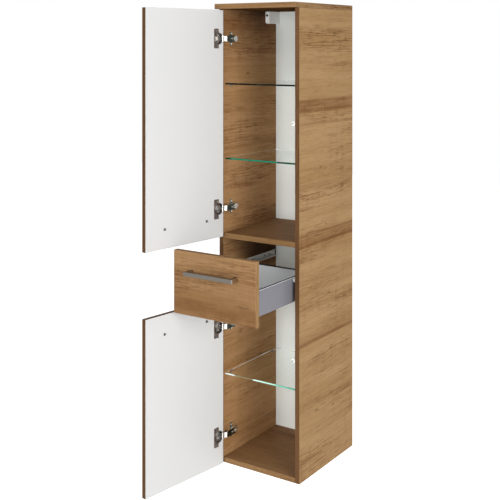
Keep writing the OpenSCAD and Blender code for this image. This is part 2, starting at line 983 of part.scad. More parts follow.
module drawer_base() {
    color(white)
        translate([-box_x, drawer_y, drawer_z + sheet_t])
            cube([2 * box_x, drawer_len - drawer_board_t - flat_play, drawer_board_t]);
}

module drawer_back() {
    color(grey_metal)
        translate([-box_x, drawer_y + drawer_len - drawer_board_t, drawer_z + sheet_t])
            cube([2 * box_x, drawer_board_t, drawer_back_h]);
}

module front_brackets() {
    color(steel)
        for (s = [-1, 1])
            on_wall(s)
                difference() {
                    union() {
                        translate([wall_x + sheet_t, drawer_y, bracket_z])
                            cube([sheet_t, bracket_len, bracket_h]);
                        translate([wall_x + sheet_t, drawer_y, bracket_z])
                            cube([bracket_reach, sheet_t, bracket_h]);
                    }
                    for (z = bracket_screw_z)
                        translate([bracket_screw_x, drawer_y - cut, z])
                            rod_y(wood_screw_r + tight, sheet_t + 2 * cut);
                }
}

module drawer_screws() {
    color("#c9cbcc") {
        handle_screws(drawer_y, drawer_handle_z);
        for (s = [-1, 1], z = bracket_screw_z)
            on_wall(s)
                translate([bracket_screw_x, drawer_y, z]) {
                    translate([0, -wood_screw_len, 0])
                        rod_y(wood_screw_r, wood_screw_len + sheet_t);
                    translate([0, sheet_t, 0])
                        rod_y(head_r, head_t);
                }
    }
}

// Screws of the rails and dampers
module fixing_screws() {
    color("#c9cbcc") {
        for (s = [-1, 1], y = rail_screw_set)
            wall_screw(s, y, roller_z, sheet_t);
        for (z = [damper_up, upper_door_z + damper_up], y = damper_screw_set)
            wall_screw(1, y, z, damper_foot_t);
    }
}

module wall_screw(s, y, z, seat) {
    on_wall(s)
        translate([0, front_y + y, z]) {
            translate([flat_play - wood_screw_len, 0, 0])
                rod_x(wood_screw_r, wood_screw_len + seat);
            translate([seat, 0, 0])
                rod_x(head_r, head_t);
        }
}

// Door dampers on the right side panel

damper_foot_t = 2;
damper_foot_len = 22;
damper_collar_t = 3;
damper_screw_gap = 6;
damper_screw_pitch = 8;
damper_screw_first = damper_set + damper_len + damper_screw_gap;
damper_screw_set = [damper_screw_first, damper_screw_first + damper_screw_pitch];

module damper_body(z) {
    barrel_y = front_y + damper_set;
    color(white)
        on_wall(1)
            difference() {
                union() {
                    translate([damper_x, barrel_y, z])
                        rod_y(damper_r, damper_len);
                    translate([damper_x, barrel_y, z])
                        rod_y(damper_x - flat_play, damper_collar_t);
                    translate([0, barrel_y + damper_collar_t, z - damper_r])
                        cube([damper_x, damper_len - damper_collar_t, 2 * damper_r]);
                    translate([0, barrel_y + damper_len - cut, z - damper_r])
                        cube([damper_foot_t, damper_foot_len, 2 * damper_r]);
                }
                translate([damper_x, barrel_y - cut, z])
                    rod_y(plunger_r + 0.1, plunger_stem + plunger_travel + 8);
                for (y = damper_screw_set)
                    translate([-cut, front_y + y, z])
                        rod_x(wood_screw_r + tight, damper_foot_t + 2 * cut);
            }
}

module damper_plunger(z) {
    tip_y = face_y + running - plunger_travel;
    color("#f2f2f0")
        on_wall(1)
            translate([damper_x, tip_y, z]) {
                rod_y(plunger_r + plunger_tip_over, plunger_tip_t);
                rod_y(plunger_r, plunger_stem);
            }
}

side_left();
side_right();
top_board();
bottom_board();
fixed_shelf();
back_sheet();
carcass_dowels();
glass_shelf(glass_heights[2]);  // glass_shelf_top
glass_shelf(glass_heights[1]);  // glass_shelf_middle
glass_shelf(glass_heights[0]);  // glass_shelf_lower
shelf_pins();
hanger_body(-1);  // hanger_body_left
hanger_body(1);  // hanger_body_right
hanger_hook(-1);  // hanger_hook_left
hanger_hook(1);  // hanger_hook_right
hanger_cover(-1);  // hanger_cover_left
hanger_cover(1);  // hanger_cover_right
hanger_screws();
hinge_plate(0);  // hinge_plate_1
hinge_plate(1);  // hinge_plate_2
hinge_plate(2);  // hinge_plate_3
hinge_plate(3);  // hinge_plate_4
hinge_arm(0);  // hinge_arm_1
hinge_arm(1);  // hinge_arm_2
hinge_arm(2);  // hinge_arm_3
hinge_arm(3);  // hinge_arm_4
hinge_screws();
rail(-1);  // rail_left
rail(1);  // rail_right
fixing_screws();
damper_body(upper_door_z + damper_up);  // damper_body_upper
damper_body(damper_up);  // damper_body_lower
door(upper_door_z, upper_door_h, upper_handle_z, 0);  // upper_door
upper_handle();
door_screws(upper_handle_z, 0);  // upper_door_screws
hinge_cup(0);  // hinge_cup_1
hinge_cup(1);  // hinge_cup_2
hinge_pins(0);  // hinge_pins_upper
door(0, lower_door_h, lower_handle_z, 2);  // lower_door
lower_handle();
door_screws(lower_handle_z, 2);  // lower_door_screws
hinge_cup(2);  // hinge_cup_3
hinge_cup(3);  // hinge_cup_4
hinge_pins(2);  // hinge_pins_lower
drawer_front();
drawer_side(-1);  // drawer_side_left
drawer_side(1);  // drawer_side_right
drawer_base();
drawer_back();
drawer_handle();
front_brackets();
drawer_screws();
rail_roller(-1);  // rail_roller_left
rail_roller(1);  // rail_roller_right
side_roller(-1);  // side_roller_left
side_roller(1);  // side_roller_right
damper_plunger(upper_door_z + damper_up);  // damper_plunger_upper
damper_plunger(damper_up);  // damper_plunger_lower
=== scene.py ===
# %% [markdown]
# # A tall wall cabinet with two doors and a drawer
#
# The cabinet comes as a fixed frame of finished solids, grouped into the bodies that move: the carcass, two
# doors, the drawer, its rollers and two damper plungers. This lesson dresses that frame for a picture. Plain
# solids get a real finish, and the pieces whose edges, folds and screws catch the light are modelled again.

# %% Load the frame
import math

import bpy
from mathutils import Matrix, Vector


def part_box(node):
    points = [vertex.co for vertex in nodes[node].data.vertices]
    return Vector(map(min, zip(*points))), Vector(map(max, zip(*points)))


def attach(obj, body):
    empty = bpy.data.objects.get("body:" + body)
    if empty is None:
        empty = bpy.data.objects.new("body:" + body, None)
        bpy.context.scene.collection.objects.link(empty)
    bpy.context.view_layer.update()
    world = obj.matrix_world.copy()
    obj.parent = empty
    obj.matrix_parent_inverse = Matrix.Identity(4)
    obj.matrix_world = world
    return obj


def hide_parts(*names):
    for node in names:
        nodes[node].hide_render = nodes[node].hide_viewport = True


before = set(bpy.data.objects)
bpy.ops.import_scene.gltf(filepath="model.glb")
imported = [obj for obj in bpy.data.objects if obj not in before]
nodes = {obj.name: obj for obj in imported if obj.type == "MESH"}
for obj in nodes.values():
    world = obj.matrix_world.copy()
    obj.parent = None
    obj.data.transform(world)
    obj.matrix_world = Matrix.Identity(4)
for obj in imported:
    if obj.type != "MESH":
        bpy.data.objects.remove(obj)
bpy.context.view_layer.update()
MM = 0.001


# %% [markdown]
# ## Camera
#
# The picture keeps upright lines upright, as a lens with shift does: the camera stands level, a little below
# the top of the cabinet, and the lens is shifted down and to the left. Its place was worked out from the
# corners of the boards. Blender's shift is a share of the picture's width.

# %% Camera
PICTURE_PX = 500
FOCAL_PX = 911.0
VANISH_U, VANISH_V = 346.7, 43.8

camera = bpy.data.objects.new("camera", bpy.data.cameras.new("camera"))
bpy.context.scene.collection.objects.link(camera)
camera.location = (1.6512, -2.5299, 1.2968)
camera.rotation_euler = (math.radians(90), 0, math.radians(31.05))
camera.data.sensor_width = 36
camera.data.lens = 36 * FOCAL_PX / PICTURE_PX
camera.data.shift_x = (PICTURE_PX / 2 - VANISH_U) / PICTURE_PX
camera.data.shift_y = (VANISH_V - PICTURE_PX / 2) / PICTURE_PX
bpy.context.scene.camera = camera
print("lens in mm:", round(camera.data.lens, 1))


# %% [markdown]
# ## Colours and nodes
#
# Colours are written as sRGB hex values, as a paint chart gives them, and Blender wants them linear, so one
# function turns them. Another one adds a shader node with its settings. An input that is given as a node or
# a socket is linked, and any other is set to its value. With these, a material reads like a recipe.

# %% Helpers for materials
WHITE, BLACK = (1, 1, 1, 1), (0, 0, 0, 1)


def linear(hex_colour):
    """An sRGB hex colour as linear red, green, blue and alpha."""
    parts = [int(hex_colour[i:i + 2], 16) / 255 for i in (1, 3, 5)]
    return [p / 12.92 if p <= 0.04045 else ((p + 0.055) / 1.055) ** 2.4 for p in parts] + [1.0]


def feed(made, inputs):
    """Links the inputs that are nodes or sockets, and sets the others."""
    for name, value in inputs.items():
        if isinstance(value, bpy.types.Node):
            value = next(output for output in value.outputs if output.enabled)
        if isinstance(value, bpy.types.NodeSocket):
            made.id_data.links.new(value, made.inputs[name])
        else:
            made.inputs[name].default_value = value
    return made


def add_node(tree, kind, inputs=None, **settings):
    """Adds a shader node with its settings and its inputs."""
    made = tree.nodes.new("ShaderNode" + kind)
    for name, value in settings.items():
        setattr(made, name, value)
    return feed(made, inputs or {})


def new_material(name):
    """A fresh material with only its main shader and its output."""
    material = bpy.data.materials.new(name)
    material.use_nodes = True
    tree = material.node_tree
    tree.nodes.clear()
    shader = add_node(tree, "BsdfPrincipled")
    add_node(tree, "OutputMaterial", {"Surface": shader})
    return material, tree, shader


# %% [markdown]
# ## Floor and light
#
# The cabinet hangs on a wall, so the floor lies a little below it. To the camera, in mirrors and through
# glass the floor and the air look plain white, which is what Light Path's ray outputs are for. To all other
# rays the air is a weak lamp, and the floor a pale sheet of paper that takes the cabinet's soft shadow.
# A large soft lamp stands far to the right for the side panel, and another one in front for the fronts.

# %% Floor, air and lamps
FLOOR_BELOW, FLOOR_SIZE, FLOOR_GLOW = 0.30, 14, 0.85
AIR_LIGHT, LAMP_SIZE = 0.40, 1.6
LAMPS = {"lamp_right": ((3.2, -1.6, 1.2), 58), "lamp_front": ((0.2, -4.5, 1.1), 96)}
MIDDLE = Vector((0, -0.3, 0.7))


def seen_directly(tree):
    """1 for rays from the camera, from mirrors and through glass, and 0 for the rest."""
    path = add_node(tree, "LightPath")
    seen = path.outputs["Is Camera Ray"]
    for ray in ("Is Glossy Ray", "Is Transmission Ray"):
        seen = add_node(tree, "Math", {0: seen, 1: path.outputs[ray]}, operation="MAXIMUM")
    return seen


bpy.ops.mesh.primitive_plane_add(size=FLOOR_SIZE, location=(0, 0, -FLOOR_BELOW))
floor = bpy.context.object
floor.name = "studio_floor"
paper, tree, shader = new_material("studio_paper")
feed(shader, {"Base Color": linear("#E4E4E4"), "Roughness": 0.9})
unlit = add_node(tree, "Emission", {"Color": BLACK})
glow = add_node(tree, "Emission", {"Color": WHITE, "Strength": FLOOR_GLOW})
lift = add_node(tree, "MixShader", {0: seen_directly(tree), 1: unlit, 2: glow})
both = add_node(tree, "AddShader", {0: shader, 1: lift})
feed(tree.nodes["Material Output"], {"Surface": both})
floor.data.materials.append(paper)

world = bpy.data.worlds.new("studio_air")
bpy.context.scene.world = world
world.use_nodes = True
tree = world.node_tree
tree.nodes.clear()
strength = add_node(tree, "MapRange", {"Value": seen_directly(tree), "To Min": AIR_LIGHT, "To Max": 1.0})
air = add_node(tree, "Background", {"Color": WHITE, "Strength": strength})
add_node(tree, "OutputWorld", {"Surface": air})

for name, (place, watts) in LAMPS.items():
    lamp = bpy.data.objects.new(name, bpy.data.lights.new(name, "AREA"))
    bpy.context.scene.collection.objects.link(lamp)
    lamp.data.size = LAMP_SIZE
    lamp.data.energy = watts
    lamp.location = place
    lamp.rotation_euler = (MIDDLE - Vector(place)).to_track_quat("-Z", "Y").to_euler()
bpy.context.scene.view_settings.view_transform = "Standard"
print("lamps:", list(LAMPS))


# %% [markdown]
# ## Oak decor
#
# The boards are chipboard in melamine film with a printed oak: matt, with long brown figures, fine lines,
# short pores and the faint marks that a saw leaves across the grain. A print is flat, so colour does the
# work and the bump is slight. The noise is stretched in real millimetres along the grain, and a slow mask
# gathers the fine figures in busy areas with calm ones between them.

# %% Figures of the oak
OAK_LIGHT, OAK_MID, OAK_STREAK = "#B89468", "#A98558", "#66391A"
# The knot colour also paints shade on the inner face of the left panel
OAK_LINE, OAK_KNOT_AND_SHADE = "#6E3F1C", "#38220F"
TOTAL_H = 1420
HALF = (0.5, 0.5, 0.5)


def grain(tree, along, vector, across_mm, along_mm, detail=2.0, output="Fac", roughness=0.6):
    """Noise with features of this size across and along the grain."""
    size = [1000 / (along_mm if axis == along else across_mm) for axis in "XYZ"]
    sized = add_node(tree, "VectorMath", {0: vector, 1: size}, operation="MULTIPLY")
    noise = {"Vector": sized, "Scale": 1.0, "Detail": detail, "Roughness": roughness}
    return add_node(tree, "TexNoise", noise).outputs[output]


def darkened(tree, colour, dark, busy, mask, low, high, amount):
    """Mixes the streak colour in where a mask goes from low to high, most of all in busy areas."""
    share = add_node(tree, "MapRange", {"Value": mask, "From Min": low, "From Max": high, "To Max": amount})
    share = add_node(tree, "Math", {0: share, 1: busy}, operation="MULTIPLY")
    return add_node(tree, "Mix", {"Factor": share, "A": colour, "B": dark}, data_type="RGBA")


# %% [markdown]
# Streaks and knots that catch the eye on a real panel are given by their place, as a designer of the print
# would set them. A streak is a stop in a colour ramp that runs up the board. A knot is an oval, and a little
# noise added to the distance from its middle makes its outline ragged. The same ovals also paint shade.

# %% Streaks, knots and painted shade
def streaked(tree, along, colour, line, streaks, height, moved):
    """Lays lines over the print, each at its height, and lets them fade in places."""
    z = add_node(tree, "SeparateXYZ", {"Vector": height}).outputs["Z"]
    share = add_node(tree, "Math", {0: z, 1: TOTAL_H * MM}, operation="DIVIDE")
    ramp = add_node(tree, "ValToRGB", {"Fac": share})
    for end in ramp.color_ramp.elements:
        end.color = BLACK
    for place, strength in streaks:
        ramp.color_ramp.elements.new(place / TOTAL_H).color = (strength, strength, strength, 1)
    fade = grain(tree, along, moved, 40, 90, 3.0)
    fade = add_node(tree, "MapRange", {"Value": fade, "From Min": 0.3, "From Max": 0.6, "To Min": 0.55})
    share = add_node(tree, "Math", {0: ramp, 1: fade}, operation="MULTIPLY")
    return add_node(tree, "Mix", {"Factor": share, "A": colour, "B": line}, data_type="RGBA")


def knots_and_shade(tree, along, colour, knot_and_shade_tone, spots, where, moved):
    """Darkens ragged ovals: knots of the print, and painted shade."""
    ragged = grain(tree, along, moved, 5, 22, 2.0, "Color")
    ragged = add_node(tree, "VectorMath", {0: ragged, 1: HALF}, operation="SUBTRACT")
    flat = (1, 0, 1) if along == "X" else (0, 1, 1)
    for middle, height, half_long, half_high, strength in spots:
        # The distance from a spot's middle, counted in its own half sizes
        place = [f * v * MM for f, v in zip(flat, (middle, middle, height))]
        size = [f / (MM * v) for f, v in zip(flat, (half_long, half_long, half_high))]
        rag = [min(2.5, 20 / half_high) * f for f in flat]
        away = add_node(tree, "VectorMath", {0: where, 1: place}, operation="SUBTRACT")
        away = add_node(tree, "VectorMath", {0: away, 1: size}, operation="MULTIPLY")
        away = add_node(tree, "VectorMath", {0: ragged, 1: rag, 2: away}, operation="MULTIPLY_ADD")
        away = add_node(tree, "VectorMath", {0: away}, operation="LENGTH")
        share = {"Value": away, "From Min": 1.2, "From Max": 0.2, "To Max": strength}
        mix = {"Factor": add_node(tree, "MapRange", share), "A": colour, "B": knot_and_shade_tone}
        colour = add_node(tree, "Mix", mix, data_type="RGBA")
    return colour


# %% [markdown]
# One recipe serves all boards. A factor for red, green and blue darkens it: for the edging, partly its own
# darker strip and partly painted shade, and as painted shade for faces that lie in the dark and for the
# fronts, which the front lamp lights strongly. The pattern of a door is laid on the shut door, so that it
# meets the drawer's grain there.

# %% Oak material
PIN = Vector((-0.1402, -0.3195, 0))
DOOR_OPEN = math.radians(99)
BEND = 0.008
# Size across and along the grain in mm, detail, noise values between which it sets in, and how dark it gets
FIGURES = [
    (18, 420, 3.0, 0.50, 0.72, 0.26),
    (4.2, 150, 5.0, 0.49, 0.62, 0.52),
    (3.4, 38, 4.0, 0.52, 0.64, 0.62),
    (1.1, 9, 1.0, 0.60, 0.70, 0.25),
]
SAW_MARKS = (80, 11)
EDGE_FLECKS = (3.0, 60)


def oak(name, along, seed, streaks=(), spots=(), shade=(1, 1, 1), on_open_door=False, gloss=0.1):
    """Printed oak with its grain along X, Y or Z, and darker where the streaks and the spots say so."""
    material, tree, shader = new_material(name)
    tones = (OAK_LIGHT, OAK_MID, OAK_STREAK, OAK_LINE, OAK_KNOT_AND_SHADE)
    light, mid, dark, line, knot_and_shade_tone = ([s * c for s, c in zip(shade, linear(tone))] + [1.0] for tone in tones)
    where = add_node(tree, "TexCoord").outputs["Object"]
    if on_open_door:
        # Turns a place on the open door back to where it lies on the shut one
        back = PIN - Matrix.Rotation(DOOR_OPEN, 3, "Z") @ PIN
        where = add_node(tree, "Mapping", {"Vector": where, "Location": back, "Rotation": (0, 0, DOOR_OPEN)})
    offset = (seed * 0.37, seed * 0.61, seed * 0.23)
    moved = add_node(tree, "VectorMath", {0: where, 1: offset}, operation="ADD")

    # Slow waves bend the figures, as a tree's knots and taper do
    bend = grain(tree, along, moved, 90, 420, 1.0, "Color")
    bend = add_node(tree, "VectorMath", {0: bend, 1: HALF}, operation="SUBTRACT")
    bend = add_node(tree, "VectorMath", {0: bend, 1: (BEND, BEND, BEND)}, operation="MULTIPLY")
    bent = add_node(tree, "VectorMath", {0: moved, 1: bend}, operation="ADD")
    height = add_node(tree, "VectorMath", {0: where, 1: bend}, operation="ADD")

    tone = grain(tree, along, bent, 38, 620, 3.0)
    tone = add_node(tree, "MapRange", {"Value": tone, "From Min": 0.34, "From Max": 0.64})
    colour = add_node(tree, "Mix", {"Factor": tone, "A": mid, "B": light}, data_type="RGBA")

    # The print has calm areas and busy ones, and the fine figures gather in the busy ones
    busy = grain(tree, along, moved, 75, 520)
    busy = add_node(tree, "MapRange", {"Value": busy, "From Min": 0.46, "From Max": 0.62, "To Min": 0.30})
    for across_mm, along_mm, detail, *shares in FIGURES:
        mask = grain(tree, along, bent, across_mm, along_mm, detail)
        colour = darkened(tree, colour, dark, busy, mask, *shares)
    mask = grain(tree, along, moved, *(EDGE_FLECKS if along == "Z" else SAW_MARKS))
    colour = darkened(tree, colour, dark, busy, mask, 0.50, 0.75, 0.22)
    if streaks:
        colour = streaked(tree, along, colour, line, streaks, height, moved)
    if spots:
        colour = knots_and_shade(tree, along, colour, knot_and_shade_tone, spots, where, moved)
    pores = {"Height": grain(tree, along, bent, 1.1, 9, 1.0), "Strength": 0.10, "Distance": 0.3 * MM}
    feed(shader, {"Base Color": colour, "Roughness": 0.6, "Specular IOR Level": gloss,
                  "Normal": add_node(tree, "Bump", pores)})
    return material


# %% [markdown]
# The boards' own streaks and knots follow, in millimetres. A streak is a height and how dark the print is
# there: thin dark lines with a browner band beside them. A knot or dash is its place along the grain, its
# height, its half length, its half height, and how dark it is. Large ones are painted shade in the dark
# corners, and three small dark ones at the rail's height are painted shade behind its slots.

# %% Oak of each board
SIDE_STREAKS = [
    (395, 0), (399, 0.75), (404, 0.75), (409, 0.3), (434, 0), (664, 0), (670, 0.3), (676, 0), (688, 0),
    (692, 0.85), (697, 0.85), (702, 0.4), (721, 0.35), (725, 0.7), (729, 0.7), (733, 0), (848, 0), (868, 0.2),
    (886, 0), (1051, 0), (1056, 0.5), (1061, 0), (1090, 0), (1094, 0.75), (1099, 0.75), (1103, 0.45),
    (1120, 0.45), (1124, 0.7), (1128, 0.6), (1132, 0),
]
INNER_STREAKS = [
    (290, 0), (303, 0.25), (312, 0), (962, 0), (972, 0.35), (982, 0.15), (992, 0.3), (1000, 0), (1218, 0),
    (1226, 0.35), (1234, 0.1), (1246, 0.3), (1256, 0.1), (1284, 0.3), (1292, 0), (1334, 0), (1342, 0.35),
    (1380, 0.25),
]
FRONT_STREAKS = [
    (525, 0.3), (532, 0.5), (546, 0.55), (560, 0.45), (569, 0.12), (600, 0.14), (634, 0.1), (638, 0.25),
    (642, 0),
]
SIDE_SPOTS = [
    (-190, 922, 10, 5, 0.5), (-65, 903, 14, 6, 0.4), (-65, 850, 12, 8, 0.4), (-145, 529, 13, 6, 0.45),
    (-211, 187, 13, 6, 0.45), (-119, 174, 12, 3, 0.35), (-66, 165, 14, 3, 0.35), (-16, 156, 12, 3, 0.35),
    (-110, 1328, 12, 8, 0.35),
]
# Knots, and painted shade: large ovals in the dark corners, and three small ones behind the rail's slots
INNER_SPOTS = [
    (-183, 1203, 10, 6, 0.6), (-222, 1092, 26, 10, 0.2), (-222, 386, 12, 8, 0.4), (-20, 650, 250, 110, 0.8),
    (-90, 1400, 230, 130, 0.5), (-157, 598, 7, 4, 1.0), (-92, 598, 7, 4, 1.0), (-64, 598, 7, 4, 1.0),
    (-140, 625, 85, 75, 0.75), (-50, 625, 90, 75, 0.75), (-60, 1404, 220, 34, 0.75),
]
FRONT_SPOTS = [(97, 565, 32, 4, 0.35), (-128, 638, 16, 3, 0.35)]
oak_right = oak("oak_decor_right", "Y", 1, SIDE_STREAKS, SIDE_SPOTS)
oak_left = oak("oak_decor_left", "Y", 4, INNER_STREAKS, INNER_SPOTS, (1.03, 0.95, 0.92))
oak_outer = oak("oak_decor_outer", "Y", 6)
# Painted shade: the upper faces of the bottom and the fixed shelf are printed darker
oak_level = oak("oak_decor_level", "X", 9, shade=(0.60, 0.53, 0.50))
oak_top = oak("oak_decor_top", "X", 11)
# Painted shade: the undersides of the top and the fixed shelf are printed far darker
oak_under = oak("oak_decor_underside", "X", 10, shade=(0.22, 0.18, 0.16), gloss=0.0)
# The fronts are printed darker than the side panel, as painted shade against the strong front lamp
oak_drawer = oak("oak_decor_drawer", "X", 5, FRONT_STREAKS, FRONT_SPOTS, (0.72, 0.68, 0.67))
oak_door = oak("oak_decor_door", "X", 7, shade=(0.75, 0.71, 0.69), on_open_door=True)
# Edgings: a darker strip, with painted shade in their factors as well
edge_up = oak("oak_edging_upright", "Z", 3, shade=(0.32, 0.26, 0.24))
edge_level = oak("oak_edging_level", "X", 2, shade=(0.62, 0.57, 0.54))
edge_side = oak("oak_edging_side", "Y", 8, shade=(0.76, 0.74, 0.72))
edge_door = oak("oak_edging_door", "Z", 6, shade=(0.25, 0.20, 0.18))
edge_drawer = oak("oak_edging_drawer", "Z", 12)
print("oak materials:", sum(m.name.startswith("oak") for m in bpy.data.materials))


# %% [markdown]
# ## Other finishes
#
# The rest has even colours, but no real surface is quite even. Moulded plastic and lacquer have a faint
# ripple, plated steel a fine scatter in its gloss, and powder coat the skin of an orange. So each finish
# is one recipe: a colour that drifts a little, a roughness that drifts a little, and a bump of a real size.
# Light that bounces deep inside the cabinet is costly to trace, so the white parts there glow very weakly.

# %% Finishes
ROUGH_DRIFT = 0.05
DRAWN_STRETCH = 30
CLOUD_SCALE = 12.0


def finish(name, colour, roughness, metallic=0.0, drift=0.04, grit_mm=1.5, bump=0.05, drawn=None, **more):
    """A finish of one colour. Drawn names the axis along which the surface was rolled or brushed."""
    material, tree, shader = new_material(name)
    where = add_node(tree, "TexCoord").outputs["Object"]
    grit = grain(tree, drawn, where, grit_mm, grit_mm * DRAWN_STRETCH, roughness=0.5)
    cloud = add_node(tree, "TexNoise", {"Vector": where, "Scale": CLOUD_SCALE, "Detail": 2.0})
    light = [min(1.0, c * (1 + drift)) for c in linear(colour)[:3]] + [1.0]
    dark = [c * (1 - drift) for c in linear(colour)[:3]] + [1.0]
    tone = add_node(tree, "Mix", {"Factor": cloud, "A": dark, "B": light}, data_type="RGBA")
    low, high = max(0.0, roughness - ROUGH_DRIFT), roughness + ROUGH_DRIFT
    rough = add_node(tree, "MapRange", {"Value": grit, "To Min": low, "To Max": high})
    ripple = add_node(tree, "Bump", {"Height": grit, "Strength": bump, "Distance": 0.2 * MM})
    feed(shader, {"Base Color": tone, "Roughness": rough, "Metallic": metallic, "Normal": ripple})
    feed(shader, {key.replace("_", " "): value for key, value in more.items()})
    return material


def weak_glow(strength):
    """White light that a surface gives off itself."""
    return {"Emission_Color": WHITE, "Emission_Strength": strength}


white_melamine = finish("white_melamine", "#E4E4E3", 0.42, drift=0.008, grit_mm=0.8)
grey_melamine = finish("grey_melamine", "#EEF1F2", 0.42, drift=0.01, grit_mm=0.8, **weak_glow(0.035))
base_melamine = finish("drawer_base_melamine", "#F4F6F7", 0.42, drift=0.01, grit_mm=0.8, **weak_glow(0.035))
chipboard = finish("chipboard_core", "#B59468", 0.85, drift=0.25, grit_mm=1.4, bump=0.6)
beech = finish("beech_dowel", "#D2B48C", 0.6, drift=0.08, drawn="X")
white_moulding = finish("white_polypropylene", "#F2F4F0", 0.35, drift=0.01, **weak_glow(0.06))
white_nylon = finish("white_polyamide", "#F0F0EC", 0.4, drift=0.01)
grey_nylon = finish("grey_polyamide", "#BFC4C2", 0.4, drift=0.01)
nickel = finish("nickel_plated_steel", "#F3F3F0", 0.24, 1.0, drift=0.02, grit_mm=0.6)
dark_nickel = finish("dark_nickel_steel", "#5E6662", 0.30, 1.0, drift=0.04, grit_mm=0.6)
zinc_bright = finish("bright_zinc_steel", "#F4EFDF", 0.26, 0.8, drift=0.03, grit_mm=0.5)
satin_nickel = finish("satin_nickel_steel", "#A29B97", 0.40, 1.0, drift=0.05, grit_mm=0.6)
# Darker steel: painted shade in the cups' hollows, and the finish of the cup screws
cup_steel_and_shade = finish("cup_steel_and_painted_shade", "#8F8985", 0.34, 1.0, drift=0.03, grit_mm=0.6)
zinc = finish("zinc_plated_steel", "#DCDFDF", 0.42, 0.35, drift=0.05, grit_mm=1.0, drawn="Y")
powder_coat = finish("grey_powder_coat", "#83828A", 0.45, drift=0.015, grit_mm=1.2, bump=0.12)
metal = {"metallic": 1.0, "drift": 0.03, "grit_mm": 0.35, "bump": 0.08}
brushed = finish("brushed_handle_metal", "#6E6963", 0.40, drawn="X", **metal)
brushed_door = finish("brushed_handle_metal_door", "#6E6963", 0.40, drawn="Y", **metal)
# A painted reflection of the wood, for the handle's end faces
painted_reflection_end = finish("handle_end_painted_reflection", "#B8A68F", 0.40, **metal)
# Dark grey that paints shade: inside the hanger caps, behind their holes, and on the drawer back's upper face
painted_shade_plastic = finish("painted_shade_dark_grey", "#33373B", 0.5, drift=0.05)
# Blackened steel for the hanger screws, and painted shade on the drawer's flange
black_steel_and_shade = finish("blackened_steel_and_painted_shade", "#0B0C0D", 0.6, drift=0.05, Specular_IOR_Level=0.1)
# A painted highlight for the drawer's lip, which also glows faintly
painted_highlight_coat = finish("painted_highlight_lip", "#F3F4F6", 0.4, drift=0.02, **weak_glow(0.08))
clear_moulding = finish("clear_polycarbonate", "#F4F8F8", 0.12, drift=0.0, IOR=1.58, Transmission_Weight=0.9)


def coat(piece, *materials):
    """Gives a piece its materials."""
    piece.data.materials.clear()
    for material in materials:
        piece.data.materials.append(material)
    return piece


def put_on(material, *starts):
    """Gives the CAD nodes whose names start so a material in place of the one that they came with."""
    for name, node in nodes.items():
        if name.startswith(starts):
            coat(node, material)


put_on(beech, "carcass_dowels")
put_on(white_nylon, "rail_roller", "side_roller")
put_on(grey_nylon, "damper_plunger")
put_on(white_moulding, "damper_body")
# The hanger's body is painted dark, as the shade seen through the cap's hole
put_on(painted_shade_plastic, "hanger_body")
put_on(black_steel_and_shade, "hanger_screws")
put_on(zinc, "hanger_hook", "front_brackets")
put_on(nickel, "hinge_pins")
put_on(clear_moulding, "shelf_pins")
print("finishes:", len(bpy.data.materials))


# %% [markdown]
# The back is a thin hardboard sheet: lacquered white where it shows inside, and raw brown fibre towards the
# wall. One solid can carry both, because the shader can ask where a point lies. The sheet is 3 mm thick, so
# a step in its depth, in the middle of the sheet, tells the two faces apart. Towards the top, where the
# boards keep the light away, the lacquer is painted a little greyer, as painted shade.

# %% Back sheet with two faces
sheet_low, sheet_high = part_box("back_sheet")
hardboard, tree, shader = new_material("lacquered_hardboard")
where = add_node(tree, "TexCoord").outputs["Object"]
axes = add_node(tree, "SeparateXYZ", {"Vector": where})
middle = (sheet_low.y + sheet_high.y) / 2
behind = add_node(tree, "Math", {0: axes.outputs["Y"], 1: middle}, operation="GREATER_THAN")
fibre = add_node(tree, "TexNoise", {"Vector": where, "Scale": 900.0, "Detail": 3.0})
# Painted shade: the lacquer greys towards the top
above = add_node(tree, "MapRange", {"Value": axes.outputs["Z"], "From Min": 1.02, "From Max": 1.30})
brown = {"Factor": fibre, "A": linear("#7A5B3C"), "B": linear("#9C7A54")}
lacquer = {"Factor": above, "A": linear("#F2F7F4"), "B": linear("#DEE3E0")}
brown, lacquer = (add_node(tree, "Mix", mix, data_type="RGBA") for mix in (brown, lacquer))
tone = add_node(tree, "Mix", {"Factor": behind, "A": lacquer, "B": brown}, data_type="RGBA")
feed(shader, {"Base Color": tone, "Roughness": 0.45})
put_on(hardboard, "back_sheet")
print("back sheet thickness in mm:", round((sheet_high.y - sheet_low.y) / MM, 1))


# %% [markdown]
# Window glass is clear across its thickness and green along it, because light is lost little by little on
# its way. So the colour is not on the surface but in the volume, as a loss for each metre. The front edge
# is ground and looks matt. What it shows comes through the whole pane, so it changes along the shelf, from
# black to bright green, and a ramp with a few stops for each shelf paints that.

# %% Float glass
GLASS_HALF = 134
EDGE_GLOW = 0.12
# The look of each ground front edge, from left to right: place in mm, and colour
EDGE_LOOKS = {
    "top": [(-132, "#10160F"), (-40, "#060A08"), (132, "#0B1F1A")],
    "middle": [
        (-132, "#1C3A2E"), (-118, "#0E2E26"), (-106, "#12765A"), (60, "#12765A"), (72, "#0E3A30"),
        (132, "#15523F")],
    "lower": [
        (-132, "#E8F2EC"), (-100, "#D2E0D8"), (-90, "#857B5C"), (-28, "#766A4C"), (-20, "#CFEFE2"),
        (55, "#A5DCC8"), (66, "#76C2AB"), (132, "#4FA68D")],
}

float_glass, tree, shader = new_material("float_glass")
feed(shader, {"Base Color": WHITE, "Roughness": 0.0, "IOR": 1.52, "Transmission Weight": 1.0})
loss = add_node(tree, "VolumeAbsorption", {"Color": linear("#7FD8B4"), "Density": 9.0})
feed(tree.nodes["Material Output"], {"Volume": loss})


